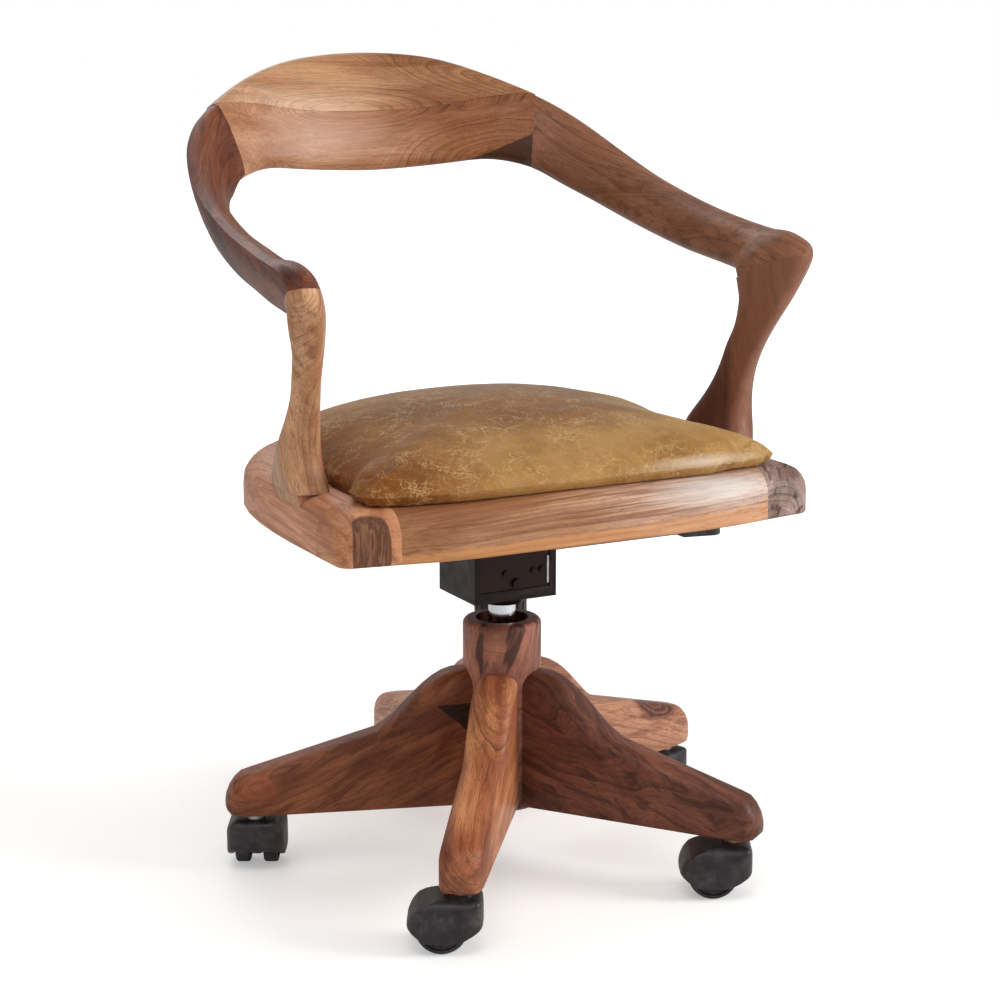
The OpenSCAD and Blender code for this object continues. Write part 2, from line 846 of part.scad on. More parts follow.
module rear_rail() {
    color(walnut_mid)
    difference() {
        loft(rear_rings);
        frame_dowel(frame_dowel_len, frame_dowel_r + glue_gap);
        mirror([1, 0, 0])
            frame_dowel(frame_dowel_len, frame_dowel_r + glue_gap);
    }
}

// Two bearers let into the side rails carry the plate from below and the seat board from above
bearer_w = 50;
bearer_t = 22;
bearer_in = 10;
bearer_rows = [[bolt_front, rear_at(4, rail_w)[0]], [bolt_back, rear_at(22, rail_w)[0]]];

module bearer_bars(grow) {
    for (row = bearer_rows)
        translate([-row[1] - bearer_in - grow, row[0] - bearer_w / 2 - grow, frame_z - (grow > 0 ? 1 : 0)])
            cube([2 * (row[1] + bearer_in + grow), bearer_w + 2 * grow, bearer_t + grow + (grow > 0 ? 1 : 0)]);
}

module seat_bearers() {
    color(walnut_pale)
    difference() {
        bearer_bars(0);
        for (x = [-bolt_x, bolt_x], y = [bolt_front, bolt_back])
            translate([x, y, frame_z - 1])
                cylinder(h = bolt_long + 2, r = bolt_shank + glue_gap);
    }
}

board_t = 12;
board_z = frame_z + bearer_t;
module seat_board() {
    color("#b08a5e")
    translate([0, 0, board_z])
        linear_extrude(height = board_t)
            polygon(opening(rail_w + seat_gap));
}

// Leather cushion: flat on the board and on the rails, drawn in beside the posts, with a low crown
cushion_low = board_z + board_t;
cushion_seat = rail_top + seat_gap;
edge_z = rail_top + 11;
crown_mid = [0, 25];
crown_half = [205, 195];
post_from = -92;
post_to = 29;
post_ease = 13;

cushion_plan = concat(
    [for (x = [0, 45, 90, 130, 165, 190]) [0, x]],
    [for (a = [-90:18:0]) [1, a]],
    [for (f = [0.3, 0.6, 0.95]) [2, f]],
    [for (a = [1, 2, 5, 9, 14, 19, 24, 29, 34, 40, 46, 53, 61, 70, 80, 90]) [3, a]]
);
cushion_corner = 34;
function cushion_at(q, d) = let (
    r = max(cushion_corner - d, 4),
    c = [seat_half - d - r, -(seat_front - front_bow - d) + r]
) q[0] == 0 ? front_at(q[1] * (c[0] / 200), d)
    : q[0] == 1 ? c + r * [cos(q[1]), sin(q[1])]
    : q[0] == 2 ? side_at(lerp(c[1], rear_start, q[1]), d)
    : rear_at(q[1], d);

// Each level is [how far in, height, share of the way to the crown, how far in beside the posts, reach at the front]
plug_in = rail_w + 2;
plug_nip = plug_in - 0.5;
front_reach = cushion_in - 11;
cushion_levels = concat(
    [[plug_in, cushion_low, 0, plug_in, 0], [plug_in, cushion_seat, 0, plug_in, 0]],
    [[cushion_in + 7, cushion_seat, 0, plug_nip, front_reach - 2]],
    [[cushion_in + 1.5, cushion_seat + 2.2, 0, plug_nip, front_reach], [cushion_in, rail_top + 5.5, 0, plug_nip, front_reach]],
    [[cushion_in + 1.5, rail_top + 8.5, 0, plug_nip + 0.5, front_reach], [cushion_in + 4.5, edge_z, 0, plug_nip + 2, front_reach]],
    [for (t = [0.04, 0.1, 0.2, 0.34, 0.5, 0.68, 0.86])
        [cushion_in + 4.5, edge_z + (crown_z - edge_z) * sin(90 * pow(t, 0.63)), t, plug_nip + 3, front_reach]]
);
function oval(p) = let (a = atan2((p[1] - crown_mid[1]) / crown_half[1], p[0] / crown_half[0]))
    [crown_half[0] * cos(a), crown_mid[1] + crown_half[1] * sin(a)];
function cushion_point(q, v) = let (
    p = cushion_at(q, v[0]),
    n = q[0] < 2 ? 0 : smooth((p[1] - post_from + post_ease) / post_ease) * smooth((post_to + 26 - p[1]) / 26),
    w = [min(p[0], seat_half - lerp(v[0], v[3], n)), p[1] - v[4] * smooth((-p[1] - 95) / 60)],
    m = lerp(lerp(w, oval(w), smooth(v[2] * 1.4)), crown_mid, v[2])
) [m[0], m[1], v[1]];
function cushion_ring(v) = let (
    half = [for (q = cushion_plan) cushion_point(q, v)],
    n = len(half)
) concat(half, [for (i = [n - 2:-1:1]) mirrored(half[i])]);

module seat_cushion() {
    color("#a67c3c")
    let (
        rings = [for (v = cushion_levels) cushion_ring(v)],
        n = len(rings[0]),
        m = len(rings),
        pts = concat([for (r = rings) each r], [[0, crown_mid[1], cushion_low], [0, crown_mid[1], crown_z]]),
        sides = [for (i = [0:m - 2], j = [0:n - 1])
            let (a = i * n + j, b = i * n + (j + 1) % n)
            each [[a, b + n, b], [a, a + n, b + n]]],
        ends = [for (j = [0:n - 1]) each [
            [m * n, j, (j + 1) % n],
            [m * n + 1, (m - 1) * n + (j + 1) % n, (m - 1) * n + j]
        ]]
    )
    polyhedron(pts, concat(sides, ends), convexity = 4);
}

// Back and arms: one band, from the middle of the crest along the left arm and down the left post
crest_high = crest_low + crest_deep;
crest_x = 183;
function from_side(d) = seat_half - d;
function up_post(share) = lerp(rail_top, arm_high, share);
// Each row is [lower or inner edge, upper or outer edge, thickness, lean of the upper edge's face]
band = [
    [[0, 300, crest_low], [0, 345, crest_high], band_t + 2, 0],
    [[78, 295, crest_low + 4], [80, 340, crest_high - 6], band_t + 2, 0],
    [[133, 281, crest_low + 9], [140, 326, crest_high - 24], band_t + 1, 0],
    [[crest_x - 9, 261, crest_low - 1], [crest_x + 11, 289, crest_high - 49], band_t, 0],
    [[from_side(62), 238, crest_low - 17], [from_side(37), 257, crest_high - 69], band_t, 1],
    [[from_side(40), 199, crest_low - 35], [from_side(15), 210, crest_high - 96], band_t, 4],
    [[from_side(23), 135, up_post(0.938)], [from_side(1), 139, up_post(1.173)], band_t + 1, 7],
    [[from_side(13), 56, up_post(0.862)], [from_side(-7), 58, up_post(1.076)], band_t + 2, 8],
    [[from_side(8), -5, up_post(0.827)], [from_side(-11), -5, up_post(1.031)], band_t + 4, 7],
    [[from_side(6), -43, up_post(0.804)], [from_side(-15), -61, up_post(1)], lerp(band_t, knuckle_t, 0.6), 8],
    [[from_side(11), -55, up_post(0.791)], [from_side(-19), -97, up_post(1)], knuckle_t - 1, 8],
    [[from_side(16), -62, up_post(0.778)], [from_side(-19), -125, up_post(0.969)], knuckle_t, 7],
    [[from_side(18), -66, up_post(0.764)], [from_side(-17), -136, up_post(0.911)], knuckle_t - 2, 5],
    [[from_side(19), -69, up_post(0.738)], [from_side(-14), -134, up_post(0.84)], knuckle_t - 3, 2],
    [[from_side(19), -71, up_post(0.684)], [from_side(-10), -125, up_post(0.756)], knuckle_t - 4.5, 0],
    [[from_side(21), -67, up_post(0.587)], [from_side(-3), -110, up_post(0.631)], lerp(waist_t, knuckle_t, 0.1), 0],
    [[from_side(23), -56, up_post(0.489)], [from_side(4), -91, up_post(0.493)], waist_t, 0],
    [[from_side(25), -47, up_post(0.391)], [from_side(7), -80, up_post(0.391)], waist_t + 1, 0],
    [[from_side(27), -33, up_post(0.284)], [from_side(8), -71, up_post(0.284)], waist_t + 7, 0],
    [[from_side(30), -13, up_post(0.169)], [from_side(8), -66, up_post(0.169)], waist_t + 15, 0],
    [[from_side(29), 3, up_post(0.08)], [from_side(12), -71, up_post(0.08)], waist_t + 17, 0],
    [[from_side(26), 17, rail_top], [from_side(18), -79, rail_top], waist_t + 15, 0]
];
crest_end = 3;
arm_end = 12;
post_end = len(band) - 1;
edge_power = 3.6;
band_levels = 8;
glue_from = 0.47;
glue_power = 3.5;

function row_at(i) = i < 0 ? [mirrored(band[-i][0]), mirrored(band[-i][1]), band[-i][2], 0] : band[min(i, post_end)];
function spline(a, b, c, d, t) = 0.5 * (2 * b + (c - a) * t + (2 * a - 5 * b + 4 * c - d) * t * t + (3 * b - a - 3 * c + d) * t * t * t);
function band_at(s) = let (i = min(floor(s), post_end - 1), t = s - i)
    [for (k = [0:3]) spline(row_at(i - 1)[k], row_at(i)[k], row_at(i + 1)[k], row_at(i + 2)[k], t)];
function band_mid(s) = let (r = band_at(s)) (r[0] + r[1]) / 2;
function band_way(s) = s <= 0 ? [1, 0, 0]
    : s >= post_end - 0.01 ? [0, 0, -1]
    : unit(band_mid(s + 0.02) - band_mid(s - 0.02));

// Half thickness at a height v of a section that is h tall and t thick
function half_t(v, h, t) = max(t / 2 * pow(max(1 - pow(abs(2 * v / h), edge_power), 0), 1 / edge_power), 0.8);
function band_point(p, way, t, r, share) = p + way * t
    + [0, 0, r[3] * sign(way[0]) * 2 * t / r[2] * pow(clamp01(2 * share), 2)];
function band_ring(s, lo, hi) = let (
    r = band_at(s),
    h = norm(r[1] - r[0]),
    up = unit(r[1] - r[0]),
    out = unit(cross(band_way(s), up)),
    mid = (r[0] + r[1]) / 2,
    levels = [for (j = [0:band_levels]) lerp(lo, hi, (1 - cos(180 * j / band_levels)) / 2) * h - h / 2]
) concat(
    [for (v = levels) band_point(mid + up * v, -out, half_t(v, h, r[2]), r, v / h)],
    [for (j = [band_levels:-1:0]) band_point(mid + up * levels[j], out, half_t(levels[j], h, r[2]), r, levels[j] / h)]
);

function steps(from, to, n) = [for (i = [0:n]) from + (to - from) * i / n];
function glue_at(s) = let (x = band_mid(min(s, crest_end))[0]) glue_from + (1 - glue_from) * pow(clamp01(x / band_mid(crest_end)[0]), glue_power);
function reversed(list) = [for (i = [len(list) - 1:-1:0]) list[i]];
function other_side(rings) = [for (r = reversed(rings)) [for (p = r) mirrored(p)]];

upper_steps = concat(steps(0, crest_end - 0.4, 8), [for (back = [0.2, 0.08, 0.025, 0.006]) crest_end - back]);
crest_steps = concat(upper_steps, [crest_end]);
glue_line = 0.0008;

module crest_lower() {
    color(walnut_mid)
    let (half = [for (s = crest_steps) band_ring(s, 0, min(1, glue_at(s)) - (s < crest_end ? glue_line : 0))])
    loft(concat(other_side([for (i = [1:len(half) - 1]) half[i]]), half));
}

// Mirrored onto itself, so that both boards split the twisted faces of the glue line the same way
module crest_upper() {
    color(walnut_pale)
    let (half = [for (s = upper_steps) band_ring(s, glue_at(s) + glue_line, 1)])
    mirror([1, 0, 0])
        loft(concat(other_side([for (i = [1:len(half) - 1]) half[i]]), half));
}

module arm() {
    loft([for (s = steps(crest_end, arm_end, 27)) band_ring(s, 0, 1)]);
}

module arm_left() {
    color(walnut_red)
        arm();
}

module arm_right() {
    color(walnut_red)
        mirror([1, 0, 0])
            arm();
}

// The foot of a post is let into the top of the side rail and has a tenon below it
foot_y = [-71, -15];
tenon = [30, 40, 26];
module post_foot(grow) {
    translate([0, foot_y[1] + grow, 0])
        rotate([90, 0, 0])
            linear_extrude(height = foot_y[1] - foot_y[0] + 2 * grow)
                polygon([
                    [seat_half - 32 - grow, rail_top + 1], [seat_half - 2.5, rail_top + 1], [seat_half - 3, rail_top - 6],
                    [seat_half - 5.5, rail_top - 14], [seat_half - 32 - grow, rail_top - 14 - grow]
                ]);
    translate([seat_half - 47 - grow, -31 - tenon[1] / 2 - grow, rail_top - tenon[2] - grow])
        cube([tenon[0] + 2 * grow, tenon[1] + 2 * grow, tenon[2] + 1 + grow]);
}

module post() {
    union() {
        loft([for (s = steps(arm_end, post_end, 27)) band_ring(s, 0, 1)]);
        post_foot(0);
    }
}

module post_left() {
    color(walnut_red)
        post();
}

module post_right() {
    color(walnut_pale)
        mirror([1, 0, 0])
            post();
}

hub();
leg(0);  // leg_front_right
leg(1);  // leg_front_left
leg(2);  // leg_side_left
leg(3);  // leg_rear
leg(4);  // leg_side_right
leg_dowels();
caster_sockets();
stand_tube();
guide_bush();
thrust_bearing();
hood(0);  // hood_front_right
hood(1);  // hood_front_left
hood(2);  // hood_side_left
hood(3);  // hood_rear
hood(4);  // hood_side_right
stem(0);  // stem_front_right
stem(1);  // stem_front_left
stem(2);  // stem_side_left
stem(3);  // stem_rear
stem(4);  // stem_side_right
wheel(0, 1);  // wheel_front_right_a
wheel(0, -1);  // wheel_front_right_b
wheel(1, 1);  // wheel_front_left_a
wheel(1, -1);  // wheel_front_left_b
wheel(2, 1);  // wheel_side_left_a
wheel(2, -1);  // wheel_side_left_b
wheel(3, 1);  // wheel_rear_a
wheel(3, -1);  // wheel_rear_b
wheel(4, 1);  // wheel_side_right_a
wheel(4, -1);  // wheel_side_right_b
piston_rod();
retaining_clip();
gas_cylinder();
release_pin();
tilt_housing();
pivot_pin();
tension_bolt();
tension_knob();
tilt_spring();
lever_rod();
lever_paddle();
top_plate();
plate_bolts();
front_rail();
corner_left();
corner_right();
side_rail_left();
side_rail_right();
rear_rail();
frame_dowels();
seat_bearers();
seat_board();
seat_cushion();
post_left();
post_right();
arm_left();
arm_right();
crest_lower();
crest_upper();
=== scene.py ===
import functools
import math
import typing

import bmesh
import bpy
from mathutils import Matrix, Vector, noise
from mathutils.bvhtree import BVHTree


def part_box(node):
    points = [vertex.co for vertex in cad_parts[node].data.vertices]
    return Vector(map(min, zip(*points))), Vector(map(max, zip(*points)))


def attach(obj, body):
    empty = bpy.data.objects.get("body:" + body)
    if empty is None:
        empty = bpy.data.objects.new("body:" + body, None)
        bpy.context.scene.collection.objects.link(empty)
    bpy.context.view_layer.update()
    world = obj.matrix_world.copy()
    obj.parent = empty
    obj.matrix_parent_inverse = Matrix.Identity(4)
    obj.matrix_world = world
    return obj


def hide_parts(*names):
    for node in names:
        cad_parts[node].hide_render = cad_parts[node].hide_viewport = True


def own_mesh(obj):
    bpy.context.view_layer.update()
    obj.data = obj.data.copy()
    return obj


bl_info = {
    "name": "Walnut Desk Armchair",
    "version": (1, 0, 0),
    "blender": (4, 5, 0),
    "location": "3D View > Sidebar > Armchair",
    "description": "Timber, leather, plastic and metal finishes of a turning and tilting desk armchair",
    "category": "Object",
}

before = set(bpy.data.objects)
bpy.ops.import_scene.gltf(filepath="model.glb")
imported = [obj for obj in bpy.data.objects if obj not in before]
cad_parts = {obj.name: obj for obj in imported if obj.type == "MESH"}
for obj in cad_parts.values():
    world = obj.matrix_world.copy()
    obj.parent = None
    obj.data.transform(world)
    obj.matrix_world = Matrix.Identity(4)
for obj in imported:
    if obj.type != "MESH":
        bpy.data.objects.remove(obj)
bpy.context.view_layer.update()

MM = 0.001
# Which way each leg points, in degrees from +X
LEG_ANGLES = {"front_right": -126, "front_left": -54, "side_left": 18, "rear": 90, "side_right": 162}
# Depth of the recess behind the front of the tilt housing
RECESS_DEPTH = 0.0016
# Screw heads in the recess of the housing: across, up, size over the flats
RECESS_SCREWS = ((0.0015, 0.2985, 0.010), (-0.011, 0.310, 0.006), (0.021, 0.310, 0.006), (0.031, 0.3105, 0.006))
SCREW_HEIGHT = 0.4      # of its size over the flats
# Low and high end of the bare edge beside them: across, up
RECESS_EDGE = ((0.0365, 0.2955), (0.0388, 0.324))
EDGE_THICKNESS = 0.0012

# The cloth simulation of the cushion, in frames and metres
CLOTH_FRAMES = 20
MOST_STRETCH = 0.004
# The cloth is held over this height at its foot
NAILED_DEPTH = 0.012
# Below this height the rim comes in to the solid, over the length of the blend, and is nailed down
RIM_TOP, RIM_BLEND = 0.436, 0.005
# Away from the frame and the posts the crown may stand proud of its solid by this much
CROWN_PROUD, CROWN_FROM, CROWN_HALF_WIDTH = 0.0015, 0.455, 0.17
# Folds that fan out of the two front corners: side, reach, number, turn
FANNED_FOLDS = ((-1, 0.05, 3, 0.35), (1, 0.06, 2, -0.5))
FOLD_CORNER = (0.205, -0.148)
# Short wrinkles along the front edge: across at their foot, width, lean
WRINKLES = ((-0.125, 0.006, 0.4), (-0.105, 0.004, 0.2), (0.155, 0.005, -0.6), (0.168, 0.004, -0.3))
WRINKLE_FOOT, WRINKLE_HEIGHT, WRINKLE_REACH, WRINKLE_SHARE = 0.44, 0.437, 0.016, 0.35
FRONT_STRIP = -0.10

# Lamps of the studio: place, target, diameter, watts
SOFTBOXES = {
    "key_softbox": ((2.5, -1.9, 1.5), (0, 0, 0.45), 1.5, 62.0),
    "top_softbox": ((-0.9, -1.2, 2.8), (0, 0, 0.5), 1.6, 16.0),
    "back_softbox": ((0.3, 2.4, 2.2), (0, 0, 0.6), 1.6, 14.0),
}
# The camera that was fitted to the photograph
CAMERA_PLACE, CAMERA_PITCH, CAMERA_YAW = (-1.1557, -2.2008, 0.9285), 76.92, -27.76
CAMERA_LENS, CAMERA_SHIFT = 89.735, (-0.00427, 0.02776)


# Colour and node helpers

def linear(code):
    """An sRGB hex colour such as "#a3784a" as linear red, green, blue and alpha."""
    parts = [int(code[i:i + 2], 16) / 255 for i in (1, 3, 5)]
    return (*[c / 12.92 if c <= 0.04045 else ((c + 0.055) / 1.055) ** 2.4 for c in parts], 1.0)


# What the nodes of a kind have in common here. A pattern gets its size from its coordinates.
USUAL = {
    "TexNoise": {"Scale": 1.0},
    "TexVoronoi": {"Scale": 1.0, "feature": "DISTANCE_TO_EDGE"},
    "Mapping": {"vector_type": "TEXTURE"},
    "MapRange": {"interpolation_type": "SMOOTHSTEP"},
    "Mix": {"data_type": "RGBA"},
}


def node(tree, kind, *inputs, stops=(), **named):
    """Adds a node, such as "Math ADD". Inputs fill its sockets in order, and Capital_Names name one.

    An input is a value, a hex colour, a socket, or a node, which stands for its first output.
    Names in small letters are settings, and stops are the places and colours of a ramp.
    """
    kind, _, operation = kind.partition(" ")
    made = tree.nodes.new("ShaderNode" + kind)
    if operation:
        made.operation = operation
    named = {**USUAL.get(kind, {}), **named}
    for key in [key for key in named if key[0].islower()]:
        setattr(made, key, named.pop(key))
    while stops and len(made.color_ramp.elements) < len(stops):
        made.color_ramp.elements.new(1.0)
    for index, (place, colour) in enumerate(stops):
        element = made.color_ramp.elements[index]
        element.position = place
        element.color = linear(colour) if isinstance(colour, str) else colour
    given = list(zip([socket for socket in made.inputs if socket.enabled], inputs))
    given += [(made.inputs[key.replace("_", " ")], value) for key, value in named.items()]
    for socket, value in given:
        if isinstance(value, bpy.types.Node):
            value = next(out for out in value.outputs if out.enabled)
        if isinstance(value, bpy.types.NodeSocket):
            tree.links.new(value, socket)
        else:
            socket.default_value = linear(value) if isinstance(value, str) else value
    return made


def new_material(name):
    """An empty material, and the function that adds a node to it."""
    material = bpy.data.materials.new(name)
    material.use_nodes = True
    material.node_tree.nodes.clear()
    return material, functools.partial(node, material.node_tree)


def looks():
    return bpy.context.scene.armchair_looks


def shape():
    return bpy.context.scene.armchair_shape


def grey(level):
    return (level, level, level, 1)


def mapped(add, at=(0, 0, 0), along=(0, 0, 1)):
    """Object coordinates in millimetres about a point, with Z along a direction."""
    upright = Vector(along).xy.length < 1e-6
    turn = (0, 0, 0) if upright else Vector(along).to_track_quat("Z", "Y").to_euler()
    return add("Mapping", add("TexCoord").outputs["Object"], Vector(at) * MM, turn, (MM, MM, MM))


def stretched(add, vector, across, along=None):
    """Coordinates divided by a size across the grain and one along it, in millimetres."""
    return add("VectorMath MULTIPLY", vector, (1 / across, 1 / across, 1 / (along or across)))


def about(add, at, size, turn=(0, 0, 0)):
    """Object coordinates about a point, at length 1 on the skin of an ellipsoid. Millimetres and degrees."""
    return add("Mapping", add("TexCoord").outputs["Object"], Vector(at) * MM,
               [math.radians(a) for a in turn], Vector(size) * MM)


# Walnut: oiled solid wood, cut across its growth rings. Each piece names where the pith of its board lies,
# which way the grain runs and the tones of its rings, because no two boards of the real chair match.
# Some of their spots are painted shade and painted highlights.

class Spot(typing.NamedTuple):
    """A region of its own colour: an ellipsoid or rounded block about a point, or a wedge between planes.

    Its kind is plain, shade (darkens and hides no line), tint (the grain shows through), rings or striped.
    Lengths are in millimetres.
    """

    tone: str
    kind: str = "plain"
    at: tuple = ()
    size: tuple = ()
    turn: tuple = (0, 0, 0)
    planes: tuple = ()
    square: bool = False
    soft: float = 0.3
    ragged: float = 0.35
    wobble: float = 2.0
    strength: float = 0.9
    between: str = ""
    rings: float = 0.0


class Board(typing.NamedTuple):
    """How a board was cut from its trunk. Lengths are in millimetres, and pairs are across and along the grain."""

    pith: tuple
    along: tuple
    mid: str
    light: str
    dark: str
    streak: str
    ring: float             # spacing of the rings
    lines: float            # strength of their dark edges
    wander: float = 16.0    # how far they stray
    bend: tuple = (55.0, 190.0)
    patch: tuple = (26.0, 150.0)
    stripe: tuple = (9.0, 260.0)
    stripe_share: float = 0.7
    fine: float = 0.26      # strength of the fine lines
    pores: float = 0.5
    end: float = 0.45       # how much darker the end grain is
    taper: float = 0.0
    fans: tuple = ()        # arches of their own: at, size, tilt, level, slope
    grow: tuple = ()        # the lines gain strength from one X to another, from a least share
    spots: tuple = ()


def spot_mask(add, spot):
    """1 inside a spot and 0 outside it, and how far out a point lies, where the spot has a middle."""
    if spot.planes:
        at = mapped(add)
        wobble = add("TexNoise", add("VectorMath SCALE", at, 0.06))
        mask = 1.0
        for normal, reach in spot.planes:
            far = add("VectorMath DOT_PRODUCT", at, Vector(normal).normalized())
            edge = add("Math ADD", far, add("Math MULTIPLY", wobble, spot.wobble))
            mask = add("Math MULTIPLY", mask, add("MapRange", edge, reach, reach + spot.soft))
        return mask, None
    local = about(add, spot.at, spot.size, spot.turn)
    if spot.square:
        local = add("VectorMath MULTIPLY", local, local)
        far = add("Math POWER", add("VectorMath DOT_PRODUCT", local, local), 0.25)
    else:
        far = add("VectorMath LENGTH", local)
    ragged = add("TexNoise", local, Scale=2.2, Detail=3.0)
    far = add("Math ADD", far, add("Math MULTIPLY", add("Math SUBTRACT", ragged, 0.5), spot.ragged))
    return add("MapRange", far, 1.0, 1.0 - spot.soft), far


def with_spot(add, colour, spot, lines, mid):
    """Lays a spot over the colour of a board."""
    mask, far = spot_mask(add, spot)
    cover = add("Math MULTIPLY", mask, spot.strength)
    if spot.kind == "shade":
        return add("Mix", cover, colour, spot.tone, blend_type="MULTIPLY")
    if spot.kind == "tint":
        tone = add("Mix", 0.45, spot.tone, colour)
    elif spot.kind == "rings":
        wave = add("Math FRACT", add("Math MULTIPLY", far, spot.rings))
        tone = add("ValToRGB", wave, stops=((0.0, spot.tone), (0.45, spot.between), (0.8, spot.tone), (1.0, spot.tone)))
    elif spot.kind == "striped":
        # Fine dark lines run down the inlay, and its outline is darker still
        down = add("TexNoise", stretched(add, mapped(add, along=(0.06, 0.1, 1)), 2.3, 44.0), Detail=3.0, Roughness=0.6)
        tone = add("Mix", add("MapRange", down, 0.42, 0.60), spot.tone, spot.between)
        tone = add("Mix", add("MapRange", far, 0.74, 0.9, 0.0, 0.7), tone, spot.tone)
    else:
        tone = add("Mix", add("Math MULTIPLY", lines, 0.5), spot.tone, add("Mix", 0.5, mid, spot.tone))
    return add("Mix", cover, colour, tone)


def ring_distance(add, board, trunk, shift):
    """How far a point lies from the pith, or from the middle of an arch of its own."""
    far = add("VectorMath LENGTH", add("VectorMath MULTIPLY", trunk, (1, 1, board.taper)))
    # A fork in the trunk turns the rings into arches of their own, nested round a point near the board's edge
    for at, size, tilt, level, slope in board.fans:
        near = add("VectorMath LENGTH", about(add, at, size, (0, tilt, 0)))
        near = add("Math ADD", near, add("Math MULTIPLY", add("SeparateXYZ", shift), 0.04))
        own = add("Math ADD", add("Math MULTIPLY", near, slope), level)
        inside = add("MapRange", near, 1.12, 0.98)
        far = add("Math ADD", far, add("Math MULTIPLY", inside, add("Math SUBTRACT", own, far)))
    return far


def walnut(name, board):
    """Oiled American walnut, planed and sanded: open pores, uneven growth rings and a satin sheen."""
    wood = looks()
    material, add = new_material(name)
    ring = board.ring * wood.ring_spacing
    start = mapped(add, board.pith, board.along)
    # The trunk isn't straight: its rings wander by a few millimetres over a hand's breadth
    wander = add("TexNoise", stretched(add, start, *board.bend), Roughness=0.45)
    shift = add("VectorMath SUBTRACT", wander.outputs["Color"], (0.5, 0.5, 0.5))
    shift = add("VectorMath SCALE", shift, board.wander)
    trunk = add("VectorMath ADD", start, shift)
    far = ring_distance(add, board, trunk, shift)
    years = add("TexNoise", add("Math DIVIDE", far, ring * 3.3), noise_dimensions="1D")
    count = add("Math ADD", add("Math DIVIDE", far, ring), add("Math MULTIPLY", years, 3.2))
    # A ring darkens slowly towards its late wood and ends in a sharp line
    late = add("ValToRGB", add("Math FRACT", count), stops=(
        (0.0, grey(0.05)), (0.5, grey(0.16)), (0.8, grey(0.5)), (0.93, grey(1.0)), (0.98, grey(0.75)),
        (1.0, grey(0.05))))
    strong = add("TexNoise", add("Math DIVIDE", far, ring * 1.9), noise_dimensions="1D", Detail=1.0)
    lines = add("Math MULTIPLY", late, add("MapRange", strong, 0.36, 0.66, 0.12, 1.0))
    if board.grow:
        start_x, end_x, least = board.grow
        across = add("SeparateXYZ", mapped(add))
        lines = add("Math MULTIPLY", lines, add("MapRange", across, start_x, end_x, least, 1.0))
    # Fine lines run along with the rings, three or four to each
    thin = add("ValToRGB", add("Math FRACT", add("Math MULTIPLY", count, 3.37)), stops=(
        (0.0, grey(0.5)), (0.45, grey(0.42)), (0.8, grey(1.0)), (1.0, grey(0.5))))
    # Broad light and dark heartwood, and darker streaks along the grain
    heart = add("TexNoise", stretched(add, trunk, *board.patch), Detail=3.0)
    colour = add("Mix", add("MapRange", heart, 0.34, 0.64), board.mid, board.light)
    stripe = add("TexNoise", stretched(add, trunk, *board.stripe))
    colour = add("Mix", add("MapRange", stripe, 0.5, 0.66, 0.0, board.stripe_share), colour, board.streak)
    colour = add("Mix", add("Math MULTIPLY", lines, board.lines), colour, board.dark)
    colour = add("Mix", add("Math MULTIPLY", add("MapRange", thin, 0.45, 1.0), board.fine), colour, board.dark)
    # Fibres a few tenths of a millimetre wide, drawn 1.6 mm wide so that they show
    fibre = add("TexNoise", stretched(add, trunk, 1.6, 46.0), Detail=3.0, Roughness=0.6)
    fibres = add("ValToRGB", fibre, stops=(
        (0.3, (0.80, 0.78, 0.76, 1)), (0.5, grey(1.0)), (0.72, (1.16, 1.15, 1.13, 1))))
    colour = add("Mix", 1.0, colour, fibres, blend_type="MULTIPLY")
    # Open pores, real ones 0.3 mm by 5 mm, drawn about twice as coarse
    pore = add("TexNoise", stretched(add, trunk, 0.85, wood.pore_length * 1000))
    pores = add("MapRange", pore, 0.57, 0.68)
    colour = add("Mix", add("Math MULTIPLY", pores, board.pores), colour, board.dark)
    for spot in board.spots:
        colour = with_spot(add, colour, spot, lines, board.mid)
    # End grain drinks more oil and looks darker
    facing = add("VectorMath DOT_PRODUCT", add("TexCoord").outputs["Normal"], Vector(board.along).normalized())
    ends = add("MapRange", add("Math ABSOLUTE", facing), 0.75, 0.99, 0.0, board.end)
    colour = add("Mix", ends, colour, board.dark)
    height = add("Math ADD", add("Math MULTIPLY", pores, -1.0), add("Math MULTIPLY", fibre, 0.5))
    height = add("Math SUBTRACT", height, add("Math MULTIPLY", lines, 0.25))
    gloss = add("MapRange", fibre, 0.25, 0.75, wood.wood_roughness + 0.07, wood.wood_roughness - 0.05)
    add("OutputMaterial", add(
        "BsdfPrincipled", Base_Color=colour, Roughness=gloss, IOR=1.48, Specular_IOR_Level=wood.wood_shine,
        Normal=add("Bump", Height=height, Strength=0.35, Distance=0.0002)))
    return material


def on_leg(which, out, side, up):
    """A point given along, beside and above a leg, in millimetres."""
    a = math.radians(LEG_ANGLES[which])
    return (out * math.cos(a) - side * math.sin(a), out * math.sin(a) + side * math.cos(a), up)


def leg_board(which, aside, above, tilt, fall, *tones, **more):
    """A leg's board: the grain runs outwards along the leg and the pith lies off to one side."""
    along = tuple(Vector(on_leg(which, 1, tilt, fall)).normalized())
    return Board(on_leg(which, 150, aside, above), along, *tones, **more)


